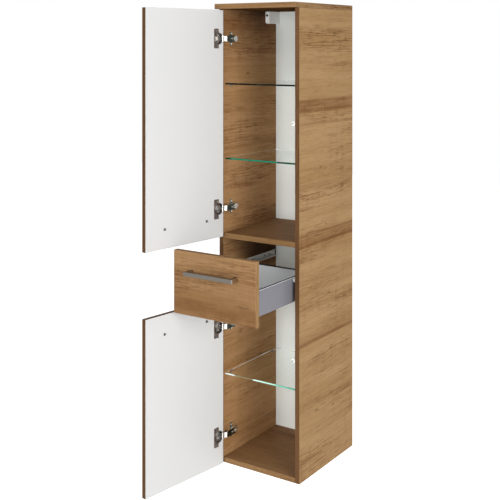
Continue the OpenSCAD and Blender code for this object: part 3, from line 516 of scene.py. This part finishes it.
def ground_edge(level):
    """The matt front edge of a pane: light that travels in the glass comes out here, so it glows a little."""
    material, tree, shader = new_material("ground_glass_edge_" + level)
    where = add_node(tree, "TexCoord").outputs["Object"]
    x = add_node(tree, "SeparateXYZ", {"Vector": where}).outputs["X"]
    reach = GLASS_HALF * MM
    run = add_node(tree, "MapRange", {"Value": x, "From Min": -reach, "From Max": reach})
    ramp = add_node(tree, "ValToRGB", {"Fac": run})
    elements = ramp.color_ramp.elements
    stops = [((place + GLASS_HALF) / (2 * GLASS_HALF), linear(tone)) for place, tone in EDGE_LOOKS[level]]
    for element, (place, tone) in zip((elements[0], elements[1]), (stops[0], stops[-1])):
        element.position, element.color = place, tone
    for place, tone in stops[1:-1]:
        elements.new(place).color = tone
    feed(shader, {"Base Color": ramp, "Emission Color": ramp, "Emission Strength": EDGE_GLOW,
                  "Roughness": 0.6, "Specular IOR Level": 0.05})
    return material


# %% [markdown]
# ## Tools for modelling
#
# Every new piece starts as a primitive at its real size and place, in millimetres, and is shaped by a few
# moves: cut, fold, and ease the edges. Operators act on all that is selected, so each helper first selects
# its piece alone.

# %% Helpers for modelling
FLAT_ANGLE, EASED_ANGLE, SHARP_ANGLE = math.radians(1), math.radians(31), math.radians(50)


def alone(piece):
    """Selects one piece only."""
    bpy.ops.object.select_all(action="DESELECT")
    piece.select_set(True)
    bpy.context.view_layer.objects.active = piece
    return piece


def settled(piece):
    """Puts the piece's place, turn and size into its mesh."""
    alone(piece)
    bpy.ops.object.transform_apply(location=True, rotation=True, scale=True)
    return piece


def block(name, low, high):
    """A box between two corners."""
    low, high = Vector(low) * MM, Vector(high) * MM
    bpy.ops.mesh.primitive_cube_add(size=1, location=(low + high) / 2)
    piece = bpy.context.object
    piece.name = name
    piece.scale = high - low
    return settled(piece)


def rod(name, start, axis, length, radius, sides=32):
    """A round bar from a point along X, Y or Z."""
    turn = {"X": (0, math.radians(90), 0), "Y": (math.radians(-90), 0, 0), "Z": (0, 0, 0)}[axis]
    middle = Vector(start) + Vector([length / 2 if a == axis else 0 for a in "XYZ"])
    bpy.ops.mesh.primitive_cylinder_add(vertices=sides, radius=radius * MM, depth=length * MM,
                                        location=middle * MM, rotation=turn)
    piece = bpy.context.object
    piece.name = name
    return settled(piece)


def modified(piece, kind, **settings):
    """Adds a modifier and applies it."""
    alone(piece)
    modifier = piece.modifiers.new(kind, kind)
    for key, value in settings.items():
        setattr(modifier, key, value)
    bpy.ops.object.modifier_apply(modifier=modifier.name)
    return piece


def combined(piece, operation, other):
    """Joins the piece with another shape, which is used up. The other shape's finish comes along."""
    modified(piece, "BOOLEAN", operation=operation, object=other, solver="EXACT", material_mode="TRANSFER")
    bpy.data.objects.remove(other)
    return piece


def cut(piece, tool):
    """Takes the tool's shape out of the piece."""
    return combined(piece, "DIFFERENCE", tool)


def add(piece, *others):
    """Welds other shapes to the piece."""
    for other in others:
        combined(piece, "UNION", other)
    return piece


def cleaned(piece, gap=0.005, flat_angle=None):
    """Merges points that lie together and drops faces without an area, as cuts and bevels leave them."""
    alone(piece)
    bpy.ops.object.mode_set(mode="EDIT")
    bpy.ops.mesh.select_all(action="SELECT")
    bpy.ops.mesh.remove_doubles(threshold=gap * MM)
    bpy.ops.mesh.dissolve_degenerate(threshold=gap * MM)
    if flat_angle:
        bpy.ops.mesh.dissolve_limited(angle_limit=flat_angle, delimit={"MATERIAL"})
    bpy.ops.object.mode_set(mode="OBJECT")
    return piece


def flat_lit(piece):
    """Shades curves smoothly and keeps flat faces flat in the light."""
    alone(piece)
    bpy.ops.object.shade_smooth_by_angle(angle=SHARP_ANGLE)
    return modified(piece, "WEIGHTED_NORMAL", weight=100, keep_sharp=True)


def ease(piece, width, segments=2):
    """Rounds the sharp edges by a width."""
    cleaned(piece, 0.03, FLAT_ANGLE)
    bpy.ops.object.shade_smooth()
    modified(piece, "BEVEL", width=width * MM, segments=segments, limit_method="ANGLE",
             angle_limit=EASED_ANGLE, harden_normals=True)
    return flat_lit(cleaned(piece))


def corner_rounded(piece, axis, test, width, segments=6):
    """Bevels the edges that run along an axis and whose middle passes a test in millimetres."""
    alone(piece)
    bpy.ops.object.mode_set(mode="EDIT")
    bpy.ops.mesh.select_mode(type="EDGE")
    bpy.ops.mesh.select_all(action="DESELECT")
    bpy.ops.object.mode_set(mode="OBJECT")
    points = piece.data.vertices
    for edge in piece.data.edges:
        a, b = (points[i].co for i in edge.vertices)
        run = (b - a).normalized()
        edge.select = abs(run[axis]) > 0.99 and test((a + b) / 2 / MM)
    bpy.ops.object.mode_set(mode="EDIT")
    bpy.ops.mesh.bevel(offset=width * MM, segments=segments, affect="EDGES")
    bpy.ops.object.mode_set(mode="OBJECT")
    return piece


def stand_in(piece, body, node):
    """The piece rides on a body and takes the place of a CAD node. One on a door is first opened with it."""
    if body in ("upper_door", "lower_door"):
        turn = Matrix.Rotation(-DOOR_OPEN, 4, "Z")
        piece.matrix_world = Matrix.Translation(PIN) @ turn @ Matrix.Translation(-PIN)
        settled(piece)
    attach(piece, body)
    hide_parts(node)
    return piece


def copied(piece, name, shift=(0, 0, 0)):
    """A copy with its own mesh, moved by millimetres."""
    twin = piece.copy()
    twin.data = piece.data.copy()
    twin.name = name
    bpy.context.scene.collection.objects.link(twin)
    twin.location = Vector(shift) * MM
    return settled(twin)


# %% [markdown]
# ## Boards
#
# A real board is not a plain box: its edges carry a glued strip with a small radius, its rear edge shows the
# raw chipboard, and its faces carry the decor. So each board starts as a cube between the corners of its
# solid, its faces get their finish by the way they look, and its edges are eased by 0.8 mm, the radius of
# common edging. A panel's two faces each have their own print, because no two faces of a real cabinet
# repeat each other, and the left panel's inner face carries painted shade. The upper faces of the bottom and
# the fixed shelf and the undersides of the top and the shelf are printed darker, as painted shade.

# %% Carcass boards
EDGING_R = 0.8


def facing(piece, index, axis, *signs):
    """Gives the faces that look along an axis, one way or both, another of the piece's materials."""
    for face in piece.data.polygons:
        if any(face.normal[axis] * sign > 0.9 for sign in signs):
            face.material_index = index


def filled(name, node):
    """A block between the corners of a node's solid."""
    low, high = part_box(node)
    return block(name, low / MM, high / MM)


def faced(piece, *materials):
    """Coats a piece all round, with its second finish in front and its third behind."""
    coat(piece, *materials)
    facing(piece, 1, 1, -1)
    facing(piece, 2, 1, 1)
    return piece


# Finish of the faces and of the front edge, and further finishes with the axis and ways that they look
BOARDS = {
    "side_left": (oak_left, edge_up, [(oak_outer, 0, -1)]),
    "side_right": (oak_outer, edge_up, [(oak_right, 0, 1)]),
    "bottom_board": (oak_level, edge_level, [(oak_top, 2, -1)]),
    "fixed_shelf": (oak_level, edge_level, [(oak_under, 2, -1)]),
    "top_board": (oak_top, edge_level, [(edge_side, 0, -1, 1), (oak_under, 2, -1)]),
}
for node, (decor, edging, others) in BOARDS.items():
    piece = faced(filled(node + "_board", node), decor, edging, chipboard, *[other[0] for other in others])
    for index, (_, axis, *signs) in enumerate(others, 3):
        facing(piece, index, axis, *signs)
    stand_in(ease(piece, EDGING_R), "carcass", node)
print("boards:", list(BOARDS))


# %% [markdown]
# ## Doors
#
# A door is oak outside and plain white inside, with edging all round, and round recesses for its hinge cups.
# All that rides on a door is modelled on the shut one, where all is square, and turned about the hinge pins
# at the end, as a fitter would open it.

# %% Doors
FACE_Y, FRONT_T, HALF_W = -309, 16, 148
DOOR_FACE_Y, DRAWER_FACE_Y = FACE_Y - FRONT_T, -517
HINGE_HEIGHTS = (1313, 789, 423, 88)
CUP_X, CUP_R, CUP_DEPTH = -127.5, 17.5, 13.5
# Bottom, top and hinges of each door
DOORS = {"upper_door": (701, 1401, HINGE_HEIGHTS[:2]), "lower_door": (0, 511, HINGE_HEIGHTS[2:])}

for node, (bottom, top, heights) in DOORS.items():
    piece = block(node + "_leaf", (-HALF_W, DOOR_FACE_Y, bottom), (HALF_W, FACE_Y, top))
    ease(faced(piece, edge_door, oak_door, white_melamine), EDGING_R)
    for z in heights:
        recess = rod("recess", (CUP_X, FACE_Y - CUP_DEPTH, z), "Y", CUP_DEPTH + 5, CUP_R, 64)
        cut(piece, coat(recess, chipboard))
    stand_in(piece, node, node)

front = filled("drawer_front_panel", "drawer_front")
faced(front, edge_level, oak_drawer, white_melamine, edge_drawer)
facing(front, 3, 0, -1, 1)
stand_in(ease(front, EDGING_R), "drawer", "drawer_front")
print("doors:", list(DOORS))


# %% [markdown]
# ## Handles
#
# The handle is a bow: a flat bar on two legs, cast in one piece and brushed along its length. It is a block
# with a smaller one cut out of it. Its outer corners are rounded first, by more, and then all its edges a
# little, because a hand feels each of them. Its end faces carry a paler, browner tint: a painted reflection
# of the wood beside them.

# %% Handles
HANDLE_PITCH, LEG, OVERHANG, BAR_H, BAR_T, BAR_OUT = 160, 10, 3, 12, 5, 30
OUTER_R, INNER_R = 2.5, 4.5
HANDLE_Z = {"upper_door": 758, "lower_door": 454, "drawer": 641}


def handle(name, face, z):
    """A bow handle that stands on a front whose outer face is at a given depth."""
    out, leg = (HANDLE_PITCH + LEG) / 2, (HANDLE_PITCH - LEG) / 2
    end, under = out + OVERHANG, face - BAR_OUT + BAR_T
    piece = block(name, (-end, face - BAR_OUT, z - BAR_H / 2), (end, face, z + BAR_H / 2))
    for near, far in ((-leg, leg), (out, end + 5), (-end - 5, -out)):
        cut(piece, block("cutter", (near, under, z - BAR_H), (far, face + 5, z + BAR_H)))
    corner_rounded(piece, 2, lambda m: m.y < face - BAR_OUT + 1, OUTER_R)
    corner_rounded(piece, 2, lambda m: abs(m.x) < leg + 1 and m.y < face - 5, INNER_R)
    return ease(piece, 0.7, 3)


for body, z in HANDLE_Z.items():
    name = body.split("_")[0] + "_handle"
    bow = handle(name + "_bow", DOOR_FACE_Y if body in DOORS else DRAWER_FACE_Y, z)
    coat(bow, brushed_door if body in DOORS else brushed, painted_reflection_end)
    # The end faces take the painted reflection
    facing(bow, 1, 0, -1, 1)
    stand_in(bow, body, name)
print("handles: bar", HANDLE_PITCH + LEG, "mm long")


# %% [markdown]
# ## Glass shelves
#
# Each shelf is 5 mm float glass with ground edges. An arris of 0.4 mm along every edge takes the sharpness
# off, and it is what draws the bright line on the real glass. Clear glass throws next to no shadow, but the
# renderer would draw a dark one, so the panes are kept out of the shadows.

# %% Glass shelves
ARRIS = 0.4
for level in EDGE_LOOKS:
    pane = filled("glass_pane_" + level, "glass_shelf_" + level)
    modified(pane, "BEVEL", width=ARRIS * MM, segments=1, limit_method="ANGLE")
    pane.visible_shadow = False
    coat(pane, float_glass, ground_edge(level))
    facing(pane, 1, 1, -1)
    stand_in(pane, "carcass", "glass_shelf_" + level)
print("glass shelves:", len(EDGE_LOOKS))


# %% [markdown]
# ## Folded sheet
#
# The drawer sides, the rails and the hinge arms are folded steel sheet. Such a piece starts as one line
# through the middle of the sheet, extruded from corner to corner. Its corners are bevelled into the radius
# that a press leaves, the line is pulled out into a strip, and Solidify gives it its thickness.

# %% A strip folded along a line
def folded(name, corners, along, start, end, sheet, radius):
    """Sheet metal whose profile passes through corners in mm, pulled out along an axis."""
    axis = "XYZ".index(along)

    def spot(corner):
        full = list(corner)
        full.insert(axis, start)
        return Vector(full) * MM

    bpy.ops.mesh.primitive_plane_add(size=MM, location=spot(corners[0]))
    piece = settled(bpy.context.object)
    piece.name = name
    bpy.ops.object.mode_set(mode="EDIT")
    bpy.ops.mesh.select_mode(type="VERT")
    bpy.ops.mesh.select_all(action="SELECT")
    bpy.ops.mesh.merge(type="CENTER")
    for here, there in zip(corners, corners[1:]):
        bpy.ops.mesh.extrude_vertices_move(TRANSFORM_OT_translate={"value": spot(there) - spot(here)})
    bpy.ops.object.mode_set(mode="OBJECT")
    ends = (spot(corners[0]), spot(corners[-1]))
    for point in piece.data.vertices:
        point.select = all((point.co - end_point).length > 1e-6 for end_point in ends)
    bpy.ops.object.mode_set(mode="EDIT")
    bpy.ops.mesh.bevel(offset=radius * MM, segments=4, affect="VERTICES")
    bpy.ops.mesh.select_mode(type="EDGE")
    bpy.ops.mesh.select_all(action="SELECT")
    pull = Vector([(end - start) * MM if a == along else 0 for a in "XYZ"])
    bpy.ops.mesh.extrude_edges_move(TRANSFORM_OT_translate={"value": pull})
    bpy.ops.mesh.select_all(action="SELECT")
    bpy.ops.mesh.normals_make_consistent(inside=False)
    bpy.ops.object.mode_set(mode="OBJECT")
    modified(piece, "SOLIDIFY", thickness=sheet * MM, offset=0.0, use_even_offset=True)
    return piece


# %% [markdown]
# ## Drawer
#
# Each metal drawer side is one folded sheet: a flange on top that carries the rear roller, a tall web, and a
# ledge below on which the base board lies. It is powder coated in a metallic grey. The flange's top is
# painted dark, as painted shade, and its lip pale and faintly glowing, as a painted highlight. Both sides
# are folded along the same line, the right one as its mirror image. The upper face of the drawer's back is
# painted dark, as painted shade.

# %% Drawer sides, base and back
INNER_X, FRONT_Y = 134, -306
SIDES = ((-1, "left"), (1, "right"))
DRAWER_Y = (-501, -231)
# Distances from the side panel, and heights
SIDE_LINE = [(5, 606.95), (13.1, 606.95), (13.1, 530.6), (26.7, 530.6)]
SHEET, SHEET_R, SHEET_EASE, PANEL_EASE = 1.2, 1.2, 0.15, 0.5
ROLLER_Z, AXLE_R, RIVET_R, RIVET_T = 598, 2.5, 3.6, 0.45
LIP_X, FLANGE_Z = 5.3, 606


def at_wall(side, x):
    """The place of a distance from the inner face of the left (-1) or right (1) side panel."""
    return side * (INNER_X - x)


def span(side, near, far):
    """Two such places, the lower one first."""
    return sorted((at_wall(side, near), at_wall(side, far)))


def with_axle(sheet, side, near, far, rivet, y):
    """Welds a roller's axle to a sheet, with the flat head of its rivet."""
    for start, end, radius in ((near, far, AXLE_R), (rivet, rivet + RIVET_T, RIVET_R)):
        low, high = span(side, start, end)
        add(sheet, rod("axle", (low, y, ROLLER_Z), "X", high - low, radius))


for side, word in SIDES:
    line = [(at_wall(side, x), z) for x, z in SIDE_LINE]
    sheet = folded("drawer_side_sheet_" + word, line, "Y", *DRAWER_Y, SHEET, SHEET_R)
    with_axle(sheet, side, 2.5, 13.1, 2.5, DRAWER_Y[1] - 12)
    coat(ease(sheet, SHEET_EASE), powder_coat, painted_highlight_coat, black_steel_and_shade)
    # Painted highlight on the flange's lip, painted shade on the flange's top
    for face in sheet.data.polygons:
        across, _, up = face.center / MM
        if up > FLANGE_Z and abs(across) > INNER_X - LIP_X:
            face.material_index = 1
        elif up > FLANGE_Z + 1 and face.normal.z > 0.5:
            face.material_index = 2
    stand_in(sheet, "drawer", "drawer_side_" + word)

base = coat(filled("drawer_base_panel", "drawer_base"), base_melamine, chipboard)
# The back's upper face is painted dark, as painted shade
back = coat(filled("drawer_back_panel", "drawer_back"), grey_melamine, chipboard, painted_shade_plastic)
facing(back, 2, 2, 1)
for panel, slot, node in ((base, "white_sheet", "drawer_base"), (back, "grey_board", "drawer_back")):
    facing(panel, 1, 0, -1, 1)
    stand_in(ease(panel, PANEL_EASE), "drawer", node)
print("drawer sheet:", len(sheet.data.polygons), "faces")


# %% [markdown]
# ## Rails
#
# The rail on the side panel is a folded channel: the rear roller of the drawer runs on its lower lip, and a
# short catch above keeps the roller from lifting. Its first 22 mm are only a flat plate that carries the
# front roller. The plate is punched with round holes for screws and with slots for adjusting.

# %% Rails
RAIL_Y = (-304, -34)
TRACK_Y = -282
RAIL_LINE = [(4.2, 607.3), (0.6, 607.3), (0.6, 589.05), (11.6, 589.05), (11.6, 591.65)]
SCREW_SETS, SLOT_SETS = (37, 165, 261), (149, 214, 242)
RAIL_R, SLOT_LONG, SLOT_HIGH = 0.9, 8, 3.9

for side, word in SIDES:
    line = [(at_wall(side, x), z) for x, z in RAIL_LINE]
    rail = folded("rail_channel_" + word, line, "Y", *RAIL_Y, SHEET, RAIL_R)
    low, high = span(side, 1.25, 20)
    cut(rail, block("mouth", (low, RAIL_Y[0] - 5, 580), (high, TRACK_Y, 615)))
    low, high = span(side, -3, 3)
    for y in SLOT_SETS:
        start, bottom = y + FRONT_Y - SLOT_LONG / 2, ROLLER_Z - SLOT_HIGH / 2
        slot = block("slot", (low, start, bottom), (high, start + SLOT_LONG, bottom + SLOT_HIGH))
        cut(rail, corner_rounded(slot, 0, lambda m: True, 1.9, 4))
    with_axle(rail, side, 0.6, 11.1, 11.1 - RIVET_T, RAIL_Y[0] + 10)
    coat(ease(rail, SHEET_EASE), zinc)
    stand_in(rail, "carcass", "rail_" + word)
print("rails:", RAIL_Y[1] - RAIL_Y[0], "mm long")


# %% [markdown]
# ## Cup hinges
#
# The cup is deep-drawn from sheet, so its floor meets its wall in a radius, and its flange has a straight
# wing for two screws. Two bright cheeks inside hold the pin. The cup is satin on its flange, and its hollow
# is painted in a darker steel, as painted shade: the tool that cuts the hollow brings that finish along. It
# is modelled once, in the shut door at height zero, and copied to each hinge, and so are the arm and the
# plate.

# %% Hinge cup
WELL_DEPTH, WELL_R, STEEL_T, FLANGE_T, FLOOR_R = 13.4, CUP_R - 0.05, 0.6, 1.2, 2.2
CHEEK_X, CHEEK_Y, CHEEK_Z = (-143, -137.4), (-322.1, -316.7), (6.4, 14)


def at_hinges(bodies, *models):
    """Copies models to the height of each hinge. A model comes with its name, its slot, which is not used,
    and its node.
    """
    for i, z in enumerate(HINGE_HEIGHTS):
        for model, name, slot, node in models:
            stand_in(copied(model, f"{name}_{i + 1}", (0, 0, z)), bodies[i], f"{node}_{i + 1}")
    for model, *_ in models:
        bpy.data.objects.remove(model)


def both_sides(near, far):
    """A stretch of height below the middle and its mirror image above, each as low and high."""
    return [sorted((sign * near, sign * far)) for sign in (-1, 1)]


floor_y = FACE_Y - WELL_DEPTH
cup = rod("hinge_cup_shell", (CUP_X, floor_y, 0), "Y", WELL_DEPTH, WELL_R, 64)
rim = rod("rim", (CUP_X, FACE_Y, 0), "Y", FLANGE_T, CUP_R + 1, 64)
wing = block("wing", (CUP_X - 0.5, FACE_Y, -30), (CUP_X + 18, FACE_Y + FLANGE_T, 30))
add(cup, rim, corner_rounded(wing, 1, lambda m: m.x > CUP_X + 17, 3))
hollow = rod("hollow", (CUP_X, floor_y + STEEL_T, 0), "Y", 30, WELL_R - STEEL_T, 64)
# The hollow is painted in darker steel, as painted shade
coat(ease(hollow, FLOOR_R, 4), cup_steel_and_shade)
ease(cut(coat(cup, satin_nickel), hollow), 0.2)
for low, high in both_sides(*CHEEK_Z):
    cheek = block("cheek", (CHEEK_X[0], CHEEK_Y[0], low), (CHEEK_X[1], CHEEK_Y[1], high))
    corner_rounded(cheek, 2, lambda m: m.y > CHEEK_Y[1] - 0.3, 2.5)
    bore = rod("bore", (CUP_X, floor_y, 0), "Y", 30, CUP_R - 0.4, 64)
    add(cup, coat(combined(cheek, "INTERSECT", bore), nickel))
flat_lit(cleaned(cup))
doors = ("upper_door", "upper_door", "lower_door", "lower_door")
at_hinges(doors, (cup, "hinge_cup_shell", "hinge_plate_steel", "hinge_cup"))
print("hinge cups:", len(HINGE_HEIGHTS))


# %% [markdown]
# The arm is the piece that shows most. A strap turns on the pin, bends out of the cup, cranks up to the
# height of the mounting plate and ends in a tail that clips over it. Its line is folded at full width, and
# then trimmed from above like a blank in a die: narrow at the strap, wide over the plate, narrow at the tail.
# The punched holes come last: one for the depth screw, an open one, and a slot for the clamping screw.
# The arm is bright nickel, but its middle part and the plate below are dark, so that the screws stand out.

# %% Hinge arm
# Depths and places from the side panel's inner face and its front edge
PIN_LOCAL = (-6.2, -13.5)
ARM_LINE = [(-6.2, -14.6), (8.9, -14.6), (8.9, -8.5), (14.1, 1), (14.1, 47), (8.3, 62)]
ARM_T, ARM_R, ARM_WIDTH, ARM_TOP = 1.8, 1.5, 19, 15
# Places along the arm: its screw for depth, its open hole, its clamping screw, and the plate's own screws
DEPTH_Y, OPEN_Y, CLAMP_Y, PLATE_Y, OPEN_R = 24, 31, 40, 37, 2.6
# What is left of the width at the strap, the neck and the tail, and the corners of each stretch
ARM_TRIMS = [(12, (-12, -20), (5.8, -11.5)), (16, (-12, -12), (30, 1)), (11, (0, 47), (30, 70))]


def local(x, y, z=0.0):
    """A place from the inner face of the left side panel and its front edge."""
    return (x - INNER_X, y + FRONT_Y, z)


line = [local(x, y)[:2] for x, y in ARM_LINE]
arm = folded("hinge_arm_strip", line, "Z", -ARM_WIDTH / 2, ARM_WIDTH / 2, ARM_T, ARM_R)
for width, near, far in ARM_TRIMS:
    for low, high in both_sides(width / 2, 12):
        cut(arm, block("trim", local(*near, low), local(*far, high)))
corner_rounded(arm, 0, lambda m: m.y > FRONT_Y + 60, 4.5)
for low, high in both_sides(7.7, 9.5):
    cheek = block("cheek", local(2.2, 4, low), local(14.1, 47, high))
    corner_rounded(cheek, 2, lambda m: m.x < -131 and m.y < FRONT_Y + 5, 7, 1)
    corner_rounded(cheek, 2, lambda m: m.x < -131 and m.y > FRONT_Y + 46, 4)
    add(arm, cheek)
add(arm, rod("eye", local(*PIN_LOCAL, -6), "Z", 12, 2.0))
for y, radius in ((DEPTH_Y, 2.45), (OPEN_Y, OPEN_R)):
    cut(arm, rod("hole", local(10, y), "X", 8, radius))
window = block("window", local(10, 35.3, -2.7), local(20, 45.7, 2.7))
cut(arm, corner_rounded(window, 0, lambda m: True, 2.6, 5))
coat(arm, nickel, dark_nickel)
for face in arm.data.polygons:
    middle = face.center / MM
    if 2 < middle.y - FRONT_Y < 29 and middle.x < ARM_TOP - INNER_X + 0.1:
        face.material_index = 1
ease(arm, 0.25)
print("hinge arm:", len(arm.data.polygons), "faces")


# %% [markdown]
# The mounting plate is a cross: a body under the arm, a foot behind it, and two wings that are screwed to the
# side panel. A notch crosses its body below the arm's open hole, and a bore takes the clamping screw.

# %% Mounting plate
plate = block("hinge_plate_body", local(0, 14, -7.5), local(13.15, 46, 7.5))
add(plate, block("foot", local(0, 46, -5), local(6, 61, 5)))
wings = block("wings", local(0, 31.5, -21.5), local(2, 42.5, 21.5))
add(plate, corner_rounded(wings, 0, lambda m: True, 5.2, 6))
cut(plate, block("notch", local(6, OPEN_Y - OPEN_R, -12), local(20, OPEN_Y + OPEN_R, 12)))
cut(plate, rod("bore", local(2, CLAMP_Y), "X", 20, 2.45))
coat(ease(plate, 0.3), dark_nickel)
at_hinges(["carcass"] * 4, (arm, "hinge_arm_strip", "nickel_steel", "hinge_arm"),
          (plate, "hinge_plate_body", "hinge_plate_steel", "hinge_plate"))
print("arms and mounting plates:", len(HINGE_HEIGHTS))


# %% [markdown]
# ## Screws
#
# A cross-head screw is a shank with a low domed head, and the cross makes the eye read it as a screw. One is
# modelled upright at the origin, then turned and copied to the places of its kind, and the copies of one
# node are joined. Most are bright zinc, those of the cups are grey, and those of the door handles are dark.

# %% Screws
# Radius and height of the head, radius and length of the shank
PLATE_SCREW, CLAMP_SCREW, DEPTH_SCREW = (3.6, 1.0, 2.4, 13), (3.6, 1.0, 2.4, 12), (2.3, 0.6, 2.2, 1.5)
CUP_SCREW, BAR_SCREW, RAIL_SCREW = (3.6, 1.0, 1.9, 12), (4.0, 2.0, 2.0, 30), (3.6, 1.0, 1.9, 11)
RIGHT, BACK, LEFT = (1, 0, 0), (0, 1, 0), (-1, 0, 0)
PLATE_DZ, CUP_DZ = (-16, 16), (-24, 24)
BRACKET_X, BRACKET_Z, DAMPER_Y, DAMPER_Z = (-107.3, 107.3), (566, 588), (67, 75), (360, 1061)


def screw(size, look, metal=zinc_bright):
    """A cross-head screw with its seat at the origin and its head towards a direction."""
    radius, thick, shank, length = size
    head = ease(rod("screw", (0, 0, 0), "Z", thick, radius), thick * 0.45, 3)
    arm_len, arm_wide = radius * 0.62, radius * 0.16
    for x, y in ((arm_len, arm_wide), (arm_wide, arm_len)):
        cut(head, block("cross", (-x, -y, thick * 0.35), (x, y, thick + 1)))
    add(head, rod("shank", (0, 0, -length), "Z", length + 0.2, shank, 16))
    head.rotation_euler = Vector(look).to_track_quat("Z", "Y").to_euler()
    return coat(flat_lit(settled(cleaned(head, 0.02))), metal)


def screw_set(word, body, *rows):
    """Rows of screws as one piece. A row has a size, a direction, places in mm, and a finish if not zinc."""
    copies = []
    for size, look, places, *metal in rows:
        model = screw(size, look, *metal)
        copies += [copied(model, "screw", place) for place in places]
        bpy.data.objects.remove(model)
    alone(copies[0])
    for piece in copies:
        piece.select_set(True)
    bpy.ops.object.join()
    copies[0].name = word + "_screw_set"
    stand_in(copies[0], body, word + "_screws")


screw_set("hinge", "carcass",
          (PLATE_SCREW, RIGHT, [local(2, PLATE_Y, z + dz) for z in HINGE_HEIGHTS for dz in PLATE_DZ]),
          (CLAMP_SCREW, RIGHT, [local(ARM_TOP, CLAMP_Y, z) for z in HINGE_HEIGHTS]),
          (DEPTH_SCREW, RIGHT, [local(ARM_TOP, DEPTH_Y, z) for z in HINGE_HEIGHTS]))
bars = (-HANDLE_PITCH / 2, HANDLE_PITCH / 2)
for door, (_, _, heights) in DOORS.items():
    cup_places = [(CUP_X + 6, FACE_Y + FLANGE_T, z + dz) for z in heights for dz in CUP_DZ]
    screw_set(door, door, (CUP_SCREW, BACK, cup_places, cup_steel_and_shade),
              (BAR_SCREW, BACK, [(x, FACE_Y, HANDLE_Z[door]) for x in bars], dark_nickel))
bracket_places = [(x, DRAWER_Y[0] + SHEET, z) for x in BRACKET_X for z in BRACKET_Z]
screw_set("drawer", "drawer", (CUP_SCREW, BACK, bracket_places),
          (BAR_SCREW, BACK, [(x, DRAWER_Y[0], HANDLE_Z["drawer"]) for x in bars]))
damper_places = [(at_wall(1, 2), y + FRONT_Y, z) for y in DAMPER_Y for z in DAMPER_Z]
screw_set("fixing", "carcass",
          (RAIL_SCREW, RIGHT, [(at_wall(-1, 1.2), y + FRONT_Y, ROLLER_Z) for y in SCREW_SETS]),
          (RAIL_SCREW, LEFT, [(at_wall(1, 1.2), y + FRONT_Y, ROLLER_Z) for y in SCREW_SETS]),
          (RAIL_SCREW, LEFT, damper_places))


# %% [markdown]
# ## Hanger covers
#
# A white moulded cap hides each hanger, with one small hole for the screwdriver. A moulding has round
# corners, thin walls and an open side towards the panel, so a block is rounded, hollowed and drilled. The
# hollow is rounded too, by the wall's thickness less, or else it would break through at the corner.

# %% Hanger covers
HANGER_Y, HANGER_Z, HANGER_T, WALL = (-86, -26), (1363.6, 1403.6), 15, 1.5
HOLE_X, HOLE_Z, HOLE_R, LOW_R, TOP_R = 6.5, 1390.6, 3.9, 7, 3.5


def rounded_front(piece, inset):
    """Rounds the two front corners, by less for a hollow that lies deeper, so that the wall stays even."""
    corner_rounded(piece, 0, lambda m: m.y < -80 and m.z < 1370, LOW_R - inset)
    corner_rounded(piece, 0, lambda m: m.y < -80 and m.z > 1400, TOP_R - inset)


for side, word in SIDES:
    low, high = span(side, 0, HANGER_T)
    cap = block("hanger_cap_" + word, (low, HANGER_Y[0], HANGER_Z[0]), (high, HANGER_Y[1], HANGER_Z[1]))
    rounded_front(cap, 0)
    low, high = span(side, -5, HANGER_T - WALL)
    hollow = block("hollow", (low, HANGER_Y[0] + WALL, HANGER_Z[0] + WALL),
                   (high, HANGER_Y[1] + 5, HANGER_Z[1] - WALL))
    rounded_front(hollow, WALL)
    # The walls of the hollow and of the hole take painted shade from the cutters
    cut(coat(cap, white_moulding), coat(hollow, painted_shade_plastic))
    hole = rod("hole", (at_wall(side, HOLE_X), HANGER_Y[0] - 5, HOLE_Z), "Y", 10, HOLE_R)
    cut(cap, coat(hole, painted_shade_plastic))
    stand_in(ease(cap, 0.5), "carcass", "hanger_cover_" + word)
print("hanger caps:", len(SIDES))
